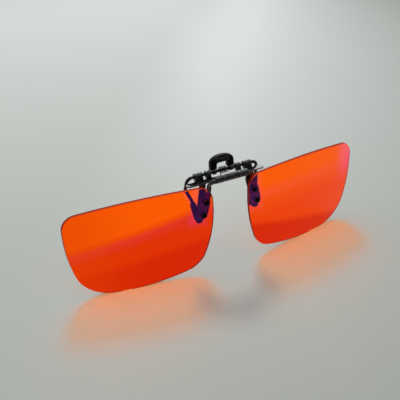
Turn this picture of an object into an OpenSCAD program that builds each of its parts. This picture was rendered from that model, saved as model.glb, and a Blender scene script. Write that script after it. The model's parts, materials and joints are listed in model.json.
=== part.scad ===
// Clip-on flip-up glasses for blue light: two rimless amber lenses on a spring clip.
// The frame is the glasses as worn: +X to the wearer's left as seen from in front (the
// viewer's right), +Y back towards the wearer and +Z up. The origin is the middle of the
// grip, on the mirror plane, between the lower ends of the front and rear pads.

/* [Lenses] */
// Width of a lens between its two upper corners
lens_w = 60; // [48:1:72]
// Height of a lens on its nasal side
lens_h = 36; // [30:1:44]
// Distance between the upper nasal corners of the two lenses
nose_gap = 18.1; // [16.5:0.1:22]
// Thickness of a lens
lens_t = 1.45; // [1.2:0.05:2.2]
// Radius of the sphere that both lenses are cut from
lens_curve_r = 244; // [180:1:400]
// How far the upper temple corner hangs below the upper nasal corner
temple_drop = 2.4; // [0:0.1:5]
// How far the lower temple corner is drawn in from the upper one
temple_taper = 6.4; // [0:0.1:9]
// How far the lower nasal corner is drawn out from the upper one
nasal_taper = 5.5; // [3:0.1:8]
// How far the lower temple corner hangs below the lower nasal corner
lower_temple_drop = 3.5; // [0:0.1:5]
// Bow of the top edge above its chord
top_bow = 2.1; // [1:0.1:3]
// Bow of the temple edge
temple_bow = 2.6; // [1:0.1:4]
// Bow of the bottom edge
bottom_bow = 2.6; // [1:0.1:4]
// Bow of the nasal edge
nasal_bow = 2.8; // [1:0.1:4]

/* [Flip hinge] */
// Height of the flip hinge above the grip
flip_z = 17.4; // [16:0.1:20]
// How far the flip hinge lies in front of the grip
flip_y = 4.85; // [4.5:0.05:6]
// Outside diameter of the hinge knuckles
flip_d = 3.0; // [2.6:0.1:3.4]
// Diameter of the hinge pin
flip_pin_d = 1.1; // [0.8:0.05:1.4]
// Length of the middle knuckle
flip_mid_w = 7.0; // [5:0.1:9]
// Length of each outer knuckle
flip_side_w = 3.65; // [3:0.05:5]
// Thickness of each friction washer
flip_washer_t = 0.25; // [0.2:0.05:0.4]

/* [Lens brackets] */
// Distance from the mirror plane to the upper screw
screw_top_x = 11.5; // [11:0.1:13]
// Height of the upper screw above the grip
screw_top_z = 8.0; // [6.5:0.1:9]
// How far the lower screw lies further out than the upper one
screw_step_x = 1.3; // [0.5:0.1:2]
// Distance between the two screws along the height
screw_step_z = 5.5; // [4.5:0.1:6.5]
// Thickness of the bracket's paddle
paddle_t = 0.6; // [0.5:0.05:0.7]
// Radius of the paddle round the upper screw
paddle_top_r = 2.5; // [1.9:0.1:2.6]
// Radius of the paddle round the lower screw
paddle_low_r = 2.3; // [1.5:0.1:2.5]
// Width of the bracket's arm
bracket_arm_w = 2.1; // [1.6:0.1:2.6]

/* [Lens screws] */
// Diameter of the screw shank
screw_d = 1.2; // [1:0.05:1.3]
// Diameter of the screw head
screw_head_d = 2.3; // [2:0.1:2.8]
// Height of the screw head
screw_head_h = 0.6; // [0.5:0.05:1]
// Thickness of the washer under a head
screw_washer_t = 0.2; // [0.15:0.05:0.3]
// Wall of the bush in the lens hole
bush_wall = 0.3; // [0.25:0.05:0.5]
// Thickness of the bush's flange behind the lens
bush_flange_t = 0.25; // [0.2:0.05:0.35]

/* [Clip body] */
// Thickness of the stamped sheet
sheet_t = 0.6; // [0.5:0.05:0.7]
// Length of the bar over its two ends
bar_w = 36.4; // [34.5:0.2:42]
// Depth of the bar from front to back
bar_depth = 2.8; // [2.6:0.1:3.2]
// Height of the bar's top face above the grip
bar_top_z = 15.45; // [15:0.05:15.8]
// Distance from the mirror plane to a leg's middle at the bar
leg_top_x = 11.3; // [11:0.1:13]
// Distance from the mirror plane to a leg's middle at its tip
leg_tip_x = 13.4; // [12:0.1:14]
// Width of a front leg inside its sleeve
leg_w = 1.9; // [1.6:0.1:2.6]
// Width of a front leg above its sleeve
leg_shoulder_w = 2.9; // [2:0.1:3]
// Height of a leg's tip, below the grip
leg_tip_drop = 1.9; // [0:0.1:2.4]
// Length of each outer rear knuckle
rear_knuckle_w = 3.7; // [3:0.1:4.2]
// Distance from the mirror plane to an outer rear knuckle's inner end
rear_knuckle_x = 9.7; // [9.5:0.1:10.5]
// Length of each inner rear knuckle, beside the lever
inner_knuckle_w = 2.3; // [1.5:0.1:2.8]

/* [Jaw] */
// Height of the wire's axis above the grip
rear_z = 17.1; // [16.8:0.05:17.6]
// How far the wire's axis lies behind the grip
rear_y = 2.55; // [2.4:0.05:3]
// Diameter of the rear jaw wire
wire_d = 1.4; // [1:0.05:1.5]
// Distance from the mirror plane to the widest point of the wire's axis
wire_span = 16.9; // [16.4:0.1:18.5]
// Wall of the rubber sleeves on the front legs
sleeve_wall = 0.6; // [0.4:0.05:0.65]
// Length of the rubber sleeves on the front legs
sleeve_len = 13.5; // [9:0.5:14]
// Wall of the rubber sleeves on the wire
rear_sleeve_wall = 0.65; // [0.4:0.05:0.7]
// Gap that the closed jaw leaves between its pads
jaw_gap = 0.3; // [0.3:0.05:0.8]

/* [Thumb lever] */
// Height of the lever's top above the wire's axis
lever_h = 6.7; // [6:0.05:9]
// Width of the lever
lever_w = 11; // [10:0.1:12]
// Radius of the lever's bowed top
lever_top_r = 9.5; // [7:0.1:14]
// Radius of the lever's two upper corners
lever_corner_r = 2.6; // [1.8:0.1:3]
// Width of the window under the thumb
window_w = 5; // [4.4:0.1:5.5]
// Height of the window's upper edge above the wire's axis
window_h = 3.4; // [3:0.1:4.2]
// Thickness of the moulded grip from front to back
grip_t = 2.1; // [1.8:0.1:2.6]
// Diameter of the spring's wire
spring_wire_d = 0.4; // [0.3:0.05:0.4]
// Turns of the spring
spring_turns = 4; // [2:1:4]

/* [Hidden] */
$fn = 64;

// Clearances: turning fits, pieces that sit on each other, and holes round a shank
run_gap = 0.05;
seat_gap = 0.02;
hole_gap = 0.03;
// The curved back of a lens stands this far from the flat flange of a bush
lens_seat = 0.06;
// How far a cutting tool runs on past the face that it cuts
cut_past = 1;

// Lens outline, in X and Z, for the lens on the +X side
lens_top_z = 14.5;
corner_set = [5.1, 5.3, 9.8, 5.4];
edge_bow = [top_bow, temple_bow, bottom_bow, nasal_bow];
edge_steps = 8;
corner_steps = 5;
// Weight of the conic in each corner: that of a quarter circle
corner_weight = 0.707;
lens_corners = [
    [nose_gap / 2, lens_top_z],
    [nose_gap / 2 + lens_w, lens_top_z - temple_drop],
    [nose_gap / 2 + lens_w - temple_taper, lens_top_z - lens_h - lower_temple_drop],
    [nose_gap / 2 + nasal_taper, lens_top_z - lens_h]
];
// The lens sphere: its centre's place, from the front face at the middle of the nose
lens_front_y = -5.2;
lens_mid_z = -3.5;
// The block, cut to the outline, that takes the lens out of its sphere
lens_cut_y = -20;
lens_cut_depth = 60;

// Flip hinge
flip_axis_y = -flip_y;
flip_r = flip_d / 2;
flip_half = flip_mid_w / 2;
flip_side_x = flip_half + flip_washer_t + 2 * run_gap;
flip_end_x = flip_side_x + flip_side_w;
washer_margin = 0.1;
// The pin's ends stand out by this much
pin_end = 0.3;

// Bracket paddle, in the frame of the lens surface at its middle
paddle_mid = [screw_top_x + screw_step_x / 2, screw_top_z - screw_step_z / 2];
bush_r = screw_d / 2 + hole_gap + bush_wall;
bush_flange_w = 0.6;
bush_flange_r = bush_r + bush_flange_w;
bush_flange_y = lens_t + lens_seat;
bush_front_y = 0.05;
paddle_y = bush_flange_y + bush_flange_t + seat_gap;

// Bracket arm: its turns, as steps from the knuckle's outer end, and its forward tilts
arm_hub = [-0.9, 0, -0.45];
arm_turns = [[1.0, 0.2, -0.6], [1.8, 0.8, -1.4], [1.8, 2.2, -2.9], [1.5, 2.35, -4.8]];
arm_tilts = [0, 0, 26, 22, 3];
arm_sides = 12;

// Screw slot
slot_w = 0.3;
slot_depth = 0.25;

// Bar and legs
bar_back_y = 1.35;
bar_front_y = bar_back_y - bar_depth;
bar_z = bar_top_z - sheet_t;
leg_set_back = 0.2;
leg_front_y = bar_front_y + leg_set_back;
leg_mid_y = leg_front_y + sheet_t / 2;
leg_tip_z = -leg_tip_drop;
// Height of the leg's bend below the bar
leg_bend = 0.4;
// How far the hinge tongues are rooted in the bar
tongue_root = 0.8;
tongue_back = 0.6;
// How far the middle tongue runs forward of the bar before it rises
tongue_lip = sheet_t / 3;
// The middle tongue is this much shorter than its knuckle, at each end
tongue_inset = 0.6;
// Where the upper and lower faces of the middle tongue meet its knuckle, and where the lower
// face of a rear tongue meets its own, in knuckle radii back and up from the hinge's axis
tongue_meets = [[0.8, -0.3], [0.2, -0.9]];
rear_meet = [0.7, -0.7];
sleeve_back_y = leg_front_y + sheet_t + sleeve_wall;

// Rear wire and its pads
wire_r = wire_d / 2;
rear_bore_r = wire_r + run_gap;
rear_knuckle_r = rear_bore_r + sheet_t;
knuckle_gap = 0.4;
inner_knuckle_x = lever_w / 2 + knuckle_gap;
// Radius of the sleeves' rounded sides, taken off their half width
sleeve_round = 0.85;
sleeve_sides = 16;
sleeve_rim = 0.1;
sleeve_end_sides = 24;
rear_pad_r = wire_r + rear_sleeve_wall;
rear_pad_y = sleeve_back_y + jaw_gap + rear_pad_r;
// Corners of the wire from the mirror plane out: the loop's outer end, its lower turn, the
// top of the finger and its tip, each drawn in from the widest point
loop_in = 0.5;
loop_lean = 1.25;
loop_drop = 5.7;
finger_in = 1.6;
finger_back = 0.05;
finger_drop = 9.8;
finger_tip_in = 3.8;
finger_tip_z = -1.6;
wire_path = [
    [0, rear_y, rear_z],
    [wire_span - loop_in, rear_y, rear_z],
    [wire_span, rear_y + loop_lean, rear_z - loop_drop],
    [wire_span - finger_in, rear_pad_y + finger_back, rear_z - finger_drop],
    [wire_span - finger_tip_in, rear_pad_y, finger_tip_z]
];
wire_bends = [2.6, 2.0, 2.5];
// Where a finger's sleeve starts after the last bend, and the steps of its round end
rear_pad_start = 0.6;
rear_pad_turns = [0, 38, 72];
wire_sides = 12;
// Largest turn between two rings of a bend
wire_step = 15;
// The bent arms are a hair thinner than the axle that they grow from
wire_skin = 0.01;
// Length of each bent arm that is buried in the axle
wire_root = 1;

// Thumb lever: its plate is tangent to the back of the crimps that hold the wire
lever_t = 0.7;
lever_lean = 3;
lever_foot = 0.9;
lever_inset = 0.7;
lever_crimp_w = (lever_w - window_w) / 2 - 2 * lever_inset;
lever_crimp_wall = 0.5;
lever_crimp_r = wire_r + lever_crimp_wall;
lever_back = lever_crimp_r - lever_t / 2;
// Ribs across the front of the grip
rib_r = 0.28;
rib_margin = 2.2;
rib_first = 0.6;
rib_pitch = 0.75;

// Spring
spring_play = 0.2;
spring_r = wire_r + spring_play + spring_wire_d;
spring_sides = 6;
spring_rings = 8;
spring_half = 1.85;
spring_mid_x = 0.25;
spring_pitch = 2 * spring_half / spring_turns;
// The leg on the lever bends back to the grip's front face and ends beside the window
spring_leg_low = 2.2;
spring_leg_rise = 0.9;
spring_leg_out = 1.2;

// Vector helpers
function unit(v) = v / norm(v);
function mid_point(a, b, t) = a + (b - a) * t;

// A point on an edge from corner a to corner b, bowed outwards by bow
function edge_point(a, b, bow, t) =
    mid_point(a, b, t) + 4 * bow * t * (1 - t) * unit([a.y - b.y, b.x - a.x]);

// The points along one bowed edge, between the set-backs of its two corners
function edge_run(i) =
    let (a = lens_corners[i], b = lens_corners[(i + 1) % 4], len = norm(b - a))
    let (t0 = corner_set[i] / len, t1 = 1 - corner_set[(i + 1) % 4] / len)
    [for (k = [0:edge_steps]) edge_point(a, b, edge_bow[i], t0 + (t1 - t0) * k / edge_steps)];

// Where the two tangents at a corner cross
function cross_point(p, u, q, v) =
    p + u * ((q.x - p.x) * v.y - (q.y - p.y) * v.x) / (u.x * v.y - u.y * v.x);

// The round between two edge runs, a conic through their ends with their tangents
function corner_run(e, f) =
    let (p = e[edge_steps], q = f[0], u = p - e[edge_steps - 1], v = f[1] - q)
    let (c = cross_point(p, u, q, v), w = corner_weight)
    [for (k = [1:corner_steps])
        let (t = k / (corner_steps + 1), a = (1 - t) * (1 - t), b = 2 * w * t * (1 - t))
        (a * p + b * c + t * t * q) / (a + b + t * t)];

function lens_outline() =
    let (runs = [for (i = [0:3]) edge_run(i)])
    [for (i = [0:3]) each concat(runs[i], corner_run(runs[i], runs[(i + 1) % 4]))];

// Places children on the lens sphere at (x, z): their +Y points in through the lens
module on_lens(x, z) {
    turn = asin(x / lens_curve_r);
    tip = asin((z - lens_mid_z) / lens_curve_r);
    translate([0, lens_front_y + lens_curve_r, lens_mid_z])
        rotate([-tip, 0, turn])
        translate([0, -lens_curve_r, 0])
        children();
}

// A cylinder along +Y from y0 to y1
module rod_y(r, y0, y1) {
    translate([0, y0, 0])
        rotate([-90, 0, 0])
        cylinder(r = r, h = y1 - y0);
}

// A cylinder along +X from x0 to x1
module rod_x(r, x0, x1) {
    translate([x0, 0, 0])
        rotate([0, 90, 0])
        cylinder(r = r, h = x1 - x0);
}

// Puts children at both screws of a paddle, in the frame of the paddle
module at_screws() {
    on_lens(paddle_mid.x, paddle_mid.y)
        for (s = [-1, 1])
            translate([s * screw_step_x / 2, 0, -s * screw_step_z / 2])
            children();
}

module lens() {
    color("orangered")
    difference() {
        intersection() {
            translate([0, lens_front_y + lens_curve_r, lens_mid_z])
                difference() {
                    sphere(r = lens_curve_r, $fn = 360);
                    sphere(r = lens_curve_r - lens_t, $fn = 360);
                }
            translate([0, lens_cut_y + lens_cut_depth, 0])
                rotate([90, 0, 0])
                linear_extrude(height = lens_cut_depth)
                polygon(lens_outline());
        }
        at_screws()
            rod_y(bush_r + hole_gap, -cut_past, lens_t + cut_past);
    }
}

// A flat round station of the bracket's arm, its upper side tipped forward by tilt
module arm_disc(at, r, tilt) {
    translate(at)
        rotate([90 + tilt, 0, 0])
        cylinder(r = r, h = paddle_t, center = true, $fn = arm_sides);
}

// The arm from the knuckle's end, round its elbow and down to the paddle
module bracket_arm() {
    r = bracket_arm_w / 2;
    stops = [for (step = concat([arm_hub], arm_turns)) [flip_end_x, flip_axis_y, flip_z] + step];
    last = len(stops) - 1;
    for (i = [0:last - 1])
        hull()
            for (k = [i, i + 1])
                arm_disc(stops[k], r, arm_tilts[k]);
    hull() {
        arm_disc(stops[last], r, arm_tilts[last]);
        on_lens(paddle_mid.x, paddle_mid.y)
            translate([-screw_step_x / 2, 0, screw_step_z / 2])
            rod_y(r, paddle_y, paddle_y + paddle_t, $fn = arm_sides);
    }
}

// The knuckle, arm and paddle behind one lens, as one bent sheet
module lens_bracket() {
    color("dimgray")
    difference() {
        union() {
            translate([0, flip_axis_y, flip_z])
                rod_x(flip_r, flip_side_x, flip_end_x);
            bracket_arm();
            on_lens(paddle_mid.x, paddle_mid.y)
                paddle();
        }
        translate([0, flip_axis_y, flip_z])
            rod_x(flip_pin_d / 2 + seat_gap, flip_half, flip_end_x + cut_past);
        at_screws()
            rod_y(screw_d / 2 + seat_gap, paddle_y - cut_past, paddle_y + paddle_t + cut_past);
    }
}

// The drilled paddle: a disc round each screw and the web between them
module paddle() {
    u = unit([screw_step_x, -screw_step_z]);
    n = [-u.y, u.x];
    a = [-screw_step_x / 2, screw_step_z / 2];
    b = [screw_step_x / 2, -screw_step_z / 2];
    translate([0, paddle_y + paddle_t, 0])
        rotate([90, 0, 0])
        linear_extrude(height = paddle_t)
        union() {
            translate(a)
                circle(r = paddle_top_r);
            translate(b)
                circle(r = paddle_low_r);
            polygon([
                a + n * paddle_top_r, b + n * paddle_low_r,
                b - n * paddle_low_r, a - n * paddle_top_r
            ]);
        }
}

module lens_screws() {
    head_y = -screw_washer_t - screw_head_h;
    color("black")
    at_screws() {
        difference() {
            rod_y(screw_head_d / 2, head_y, -screw_washer_t);
            translate([-screw_head_d, head_y - cut_past, -slot_w / 2])
                cube([2 * screw_head_d, cut_past + slot_depth, slot_w]);
        }
        rod_y(screw_d / 2, -screw_washer_t - slot_w / 2, paddle_y + paddle_t);
    }
}

module screw_washers() {
    color("black")
    at_screws()
        difference() {
            rod_y(screw_head_d / 2 + washer_margin, -screw_washer_t + seat_gap, -seat_gap);
            rod_y(screw_d / 2 + hole_gap, -cut_past, cut_past);
        }
}

module lens_bushes() {
    color("black")
    at_screws()
        difference() {
            union() {
                rod_y(bush_r, bush_front_y, bush_flange_y + bush_flange_t / 2);
                rod_y(bush_flange_r, bush_flange_y, bush_flange_y + bush_flange_t);
            }
            rod_y(screw_d / 2 + hole_gap, -cut_past, paddle_y);
        }
}

module flip_hinge_pin() {
    color("dimgray")
    translate([0, flip_axis_y, flip_z])
        rod_x(flip_pin_d / 2, -flip_end_x - pin_end, flip_end_x + pin_end);
}

module flip_hinge_washers() {
    color("silver")
    translate([0, flip_axis_y, flip_z])
        for (s = [-1, 1])
            translate([s * (flip_half + run_gap + flip_washer_t / 2), 0, 0])
            difference() {
                rod_x(flip_r - washer_margin, -flip_washer_t / 2, flip_washer_t / 2);
                rod_x(flip_pin_d / 2 + run_gap, -cut_past, cut_past);
            }
}

// The flat outline of a front leg, from the bar down to its round tip
module leg_outline(grow) {
    half = leg_w / 2 + grow;
    top = [leg_top_x, bar_z];
    tip = [leg_tip_x, leg_tip_z + leg_w / 2];
    n = unit([tip.y - top.y, top.x - tip.x]);
    polygon([top - n * half, top + n * half, tip + n * half, tip - n * half]);
    translate(tip)
        circle(r = half);
}

// A rear knuckle from x on, with the tongue that carries it
module rear_knuckle(x, w) {
    translate([x, 0, 0])
        rotate([90, 0, 90])
        linear_extrude(height = w)
        difference() {
            union() {
                translate([rear_y, rear_z])
                    circle(r = rear_knuckle_r);
                polygon([
                    [bar_back_y - tongue_root, bar_z], [bar_back_y - tongue_root, bar_top_z],
                    [rear_y - rear_knuckle_r, rear_z],
                    [rear_y, rear_z - rear_bore_r],
                    [rear_y, rear_z] + rear_knuckle_r * rear_meet,
                    [bar_back_y + tongue_back, bar_z]
                ]);
            }
            translate([rear_y, rear_z])
                circle(r = rear_bore_r);
        }
}

module clip_half() {
    // Front leg with its shoulder above the sleeve, and the bend that joins it to the bar
    top = [leg_top_x, bar_z];
    tip = [leg_tip_x, leg_tip_z + leg_w / 2];
    along = unit(tip - top);
    across = [along.y, -along.x] * leg_shoulder_w / 2;
    low = tip - along * (sleeve_len + seat_gap);
    translate([0, leg_front_y + sheet_t, 0])
        rotate([90, 0, 0])
        linear_extrude(height = sheet_t)
        union() {
            leg_outline(0);
            polygon([top - across, top + across, low + across, low - across]);
        }
    translate([leg_top_x - leg_shoulder_w / 2, leg_front_y, bar_z - leg_bend])
        cube([leg_shoulder_w, sheet_t, leg_bend + sheet_t / 2]);
    rear_knuckle(rear_knuckle_x, rear_knuckle_w);
    rear_knuckle(inner_knuckle_x, inner_knuckle_w);
}

module clip_body() {
    tongue_half = flip_half - tongue_inset;
    color("dimgray")
    difference() {
        union() {
            // The bar with its round ends
            translate([0, (bar_front_y + bar_back_y) / 2, bar_z])
                linear_extrude(height = sheet_t)
                union() {
                    square([bar_w - bar_depth, bar_depth], center = true);
                    for (s = [-1, 1])
                        translate([s * (bar_w - bar_depth) / 2, 0])
                        circle(r = bar_depth / 2);
                }
            // The middle knuckle of the flip hinge and its tongue
            translate([0, flip_axis_y, flip_z])
                rod_x(flip_r, -flip_half, flip_half);
            translate([-tongue_half, 0, 0])
                rotate([90, 0, 90])
                linear_extrude(height = 2 * tongue_half)
                polygon([
                    [bar_front_y + tongue_root, bar_z], [bar_front_y + tongue_root, bar_top_z],
                    [bar_front_y - tongue_lip, bar_top_z],
                    [flip_axis_y, flip_z] + flip_r * tongue_meets[0],
                    [flip_axis_y, flip_z] + flip_r * tongue_meets[1],
                    [bar_front_y - tongue_back, bar_z]
                ]);
            clip_half();
            mirror([1, 0, 0])
                clip_half();
        }
        translate([0, flip_axis_y, flip_z])
            rod_x(flip_pin_d / 2 + run_gap, -flip_half - cut_past, flip_half + cut_past);
    }
}

// A rubber sleeve with a flat back and front, on a front leg
module front_pad() {
    thick = sheet_t + 2 * sleeve_wall;
    half = leg_w / 2 + sleeve_wall - sleeve_round;
    top = [leg_top_x, bar_z];
    tip = [leg_tip_x, leg_tip_z + leg_w / 2];
    along = unit(tip - top);
    color("black")
    difference() {
        hull() {
            // The round lower end
            translate([tip.x, leg_mid_y, tip.y])
                rotate([90, 0, 0])
                rotate_extrude($fn = sleeve_end_sides)
                intersection() {
                    translate([half, 0])
                        circle(r = thick / 2, $fn = sleeve_sides);
                    translate([0, -thick / 2])
                        square([half + thick / 2, thick]);
                }
            // The upper end, cut square to the leg
            translate([tip.x, leg_mid_y, tip.y])
                rotate([0, atan2(-along.x, -along.y), 0])
                translate([0, 0, sleeve_len - sleeve_rim])
                linear_extrude(height = sleeve_rim)
                for (s = [-1, 1])
                    translate([s * half, 0])
                    circle(r = thick / 2, $fn = sleeve_sides);
        }
        translate([0, leg_front_y + sheet_t + seat_gap, 0])
            rotate([90, 0, 0])
            linear_extrude(height = sheet_t + 2 * seat_gap)
            leg_outline(seat_gap);
    }
}

// Length that a bend of radius r takes from each side of corner i of a path
function bend_cut(path, i, r) =
    let (u = unit(path[i] - path[i - 1]), v = unit(path[i + 1] - path[i]))
    r * tan(acos(u * v) / 2);

// One straight run of wire between two points
module wire_run(a, b, r) {
    d = b - a;
    translate(a)
        rotate([0, acos(d.z / norm(d)), atan2(d.y, d.x)])
        cylinder(r = r, h = norm(d));
}

// The points of one bend, at corner i of a path
function bend_points(path, i, r) =
    let (u = unit(path[i] - path[i - 1]), v = unit(path[i + 1] - path[i]))
    let (turn = acos(u * v), out = unit(cross(u, unit(cross(u, v)))))
    let (centre = path[i] - u * bend_cut(path, i, r) - out * r, steps = ceil(turn / wire_step))
    [for (k = [0:steps]) centre + r * (out * cos(turn * k / steps) + u * sin(turn * k / steps))];

// A point on the last run of the wire, a little way after its bend
function finger_point(after) =
    wire_path[3] + unit(wire_path[4] - wire_path[3]) * (bend_cut(wire_path, 3, wire_bends[2]) + after);

// One arm of the rear wire, from inside the axle to the tip of its finger
axle_end_x = wire_path[1].x - bend_cut(wire_path, 1, wire_bends[0]);
arm_path = concat(
    [[axle_end_x - wire_root, rear_y, rear_z]],
    [for (i = [1:3]) each bend_points(wire_path, i, wire_bends[i - 1])],
    [wire_path[4]]
);

module rear_jaw_wire() {
    color("dimgray")
    union() {
        translate([0, rear_y, rear_z])
            rod_x(wire_r, -axle_end_x, axle_end_x);
        tube(arm_path, wire_r - wire_skin, wire_sides, [0, 1, 0]);
        mirror([1, 0, 0])
            tube(arm_path, wire_r - wire_skin, wire_sides, [0, 1, 0]);
    }
}

// A rubber sleeve with a round closed end, on one finger of the wire
module rear_pad() {
    tip = wire_path[4];
    start = finger_point(rear_pad_start);
    d = tip - start;
    color("black")
    difference() {
        translate(start)
            rotate([0, acos(d.z / norm(d)), atan2(d.y, d.x)])
            union() {
                cylinder(r = rear_pad_r, h = norm(d));
                for (k = [0:len(rear_pad_turns) - 2])
                    translate([0, 0, norm(d) + rear_pad_r * sin(rear_pad_turns[k])])
                    cylinder(
                        r1 = rear_pad_r * cos(rear_pad_turns[k]),
                        r2 = rear_pad_r * cos(rear_pad_turns[k + 1]),
                        h = rear_pad_r * (sin(rear_pad_turns[k + 1]) - sin(rear_pad_turns[k]))
                    );
            }
        wire_run(start - unit(d) * cut_past, tip + unit(d) * seat_gap, wire_r + seat_gap);
    }
}

// The outside of the lever in X and Z: a bowed top between two round corners
module lever_outside(inset) {
    half = lever_w / 2 - inset;
    top_r = lever_top_r - inset;
    corner_r = lever_corner_r - inset;
    low = lever_h - lever_top_r;
    rise = sqrt(pow(top_r - corner_r, 2) - pow(half - corner_r, 2));
    meet = (half - corner_r) * top_r / (top_r - corner_r);
    intersection() {
        translate([0, low])
            circle(r = top_r, $fn = 128);
        translate([-meet, lever_foot])
            square([2 * meet, lever_h]);
    }
    translate([-half, lever_foot])
        square([2 * half, low + rise - lever_foot]);
    for (s = [-1, 1])
        translate([s * (half - corner_r), low + rise])
        circle(r = corner_r);
}

// The arch of the lever, drawn in by inset on every side
module lever_arch(inset) {
    difference() {
        lever_outside(inset);
        translate([-window_w / 2 - inset, -cut_past])
            square([window_w + 2 * inset, window_h + cut_past + inset]);
    }
}

// Places children on the wire's axis: X along it, Y through the lever and Z up its height
module in_lever() {
    translate([0, rear_y, rear_z])
        rotate([-lever_lean, 0, 0])
        children();
}

module thumb_lever() {
    inner = lever_w / 2 - lever_inset - lever_crimp_w;
    color("dimgray")
    in_lever()
        difference() {
            union() {
                translate([0, lever_back + lever_t / 2, 0])
                    rotate([90, 0, 0])
                    linear_extrude(height = lever_t)
                    lever_arch(lever_inset);
                for (s = [-1, 1])
                    translate([s * (inner + lever_crimp_w / 2), 0, 0]) {
                        rod_x(lever_crimp_r, -lever_crimp_w / 2, lever_crimp_w / 2);
                        translate([-lever_crimp_w / 2, lever_back - lever_t / 2, 0])
                            cube([lever_crimp_w, lever_t, lever_foot + lever_t / 2]);
                    }
            }
            rod_x(wire_r + seat_gap, -lever_w, lever_w);
        }
}

module thumb_grip() {
    rib_half = lever_w / 2 - rib_margin;
    color("black")
    in_lever()
        difference() {
            union() {
                translate([0, lever_back + grip_t / 2, 0])
                    rotate([90, 0, 0])
                    linear_extrude(height = grip_t)
                    lever_arch(0);
                for (k = [0:2])
                    translate([0, lever_back - grip_t / 2, window_h + rib_first + k * rib_pitch])
                    rod_x(rib_r, -rib_half, rib_half);
            }
            translate([0, lever_back + lever_t / 2 + seat_gap, 0])
                rotate([90, 0, 0])
                linear_extrude(height = lever_t + 2 * seat_gap)
                lever_arch(lever_inset - seat_gap);
            rod_x(lever_crimp_r + seat_gap, -lever_w, lever_w);
        }
}

// The spring's route: a leg on the bar, the coil round the wire and a leg on the lever
function coil_point(t) =
    let (a = 360 * t)
    [
        spring_mid_x - spring_half + spring_pitch * t,
        rear_y - spring_r * cos(a),
        rear_z + spring_r * sin(a)
    ];
spring_front_y = rear_y - spring_r;
spring_end_x = spring_mid_x + spring_half;
function on_grip(x, z) =
    let (y = lever_back - (grip_t + spring_wire_d) / 2 - seat_gap)
    [
        x,
        rear_y + y * cos(lever_lean) + z * sin(lever_lean),
        rear_z + z * cos(lever_lean) - y * sin(lever_lean)
    ];
spring_path = concat(
    [[spring_mid_x - spring_half, spring_front_y, bar_top_z + seat_gap]],
    [for (k = [0:spring_turns * spring_rings]) coil_point(k / spring_rings)],
    [
        [spring_end_x, spring_front_y, rear_z + lever_foot],
        on_grip(spring_end_x, spring_leg_low),
        on_grip(spring_end_x + spring_leg_out, spring_leg_low + spring_leg_rise)
    ]
);
spring_gap = min([
    for (i = [0:len(spring_path) - 1], j = [i + spring_rings - 2:len(spring_path) - 1])
        norm(spring_path[i] - spring_path[j])
]) - spring_wire_d;
echo(least_gap_of_the_spring_to_itself = spring_gap);

// A tube swept along a path that never runs along the vector across, closed at both ends
module tube(path, r, sides, across) {
    n = len(path);
    tangent = [for (i = [0:n - 1]) unit(path[min(i + 1, n - 1)] - path[max(i - 1, 0)])];
    rings = [for (i = [0:n - 1])
        let (u = unit(cross(tangent[i], across)), v = cross(tangent[i], u))
        for (k = [0:sides - 1]) path[i] + r * (u * cos(360 * k / sides) + v * sin(360 * k / sides))];
    walls = [for (i = [0:n - 2], k = [0:sides - 1])
        let (a = i * sides + k, b = i * sides + (k + 1) % sides)
        each [[a, b + sides, b], [a, a + sides, b + sides]]];
    ends = [for (k = [1:sides - 2])
        each [[0, k, k + 1], [(n - 1) * sides, (n - 1) * sides + k + 1, (n - 1) * sides + k]]];
    polyhedron(points = rings, faces = concat(walls, ends));
}

module torsion_spring() {
    color("silver")
    tube(spring_path, spring_wire_d / 2, spring_sides, [1, 0, 0]);
}

mirror([1, 0, 0]) lens();  // left_lens
lens();  // right_lens
mirror([1, 0, 0]) lens_bracket();  // left_lens_bracket
lens_bracket();  // right_lens_bracket
mirror([1, 0, 0]) lens_screws();  // left_lens_screws
lens_screws();  // right_lens_screws
mirror([1, 0, 0]) screw_washers();  // left_screw_washers
screw_washers();  // right_screw_washers
mirror([1, 0, 0]) lens_bushes();  // left_lens_bushes
lens_bushes();  // right_lens_bushes
flip_hinge_pin();
flip_hinge_washers();
clip_body();
mirror([1, 0, 0]) front_pad();  // front_left_pad
front_pad();  // front_right_pad
rear_jaw_wire();
mirror([1, 0, 0]) rear_pad();  // rear_left_pad
rear_pad();  // rear_right_pad
thumb_lever();
thumb_grip();
torsion_spring();
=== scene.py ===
import json
import logging
import math
from collections.abc import Callable, Sequence
from dataclasses import dataclass, field
from enum import Enum
from functools import reduce

import bmesh
import bpy
from mathutils import Matrix, Vector

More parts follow.
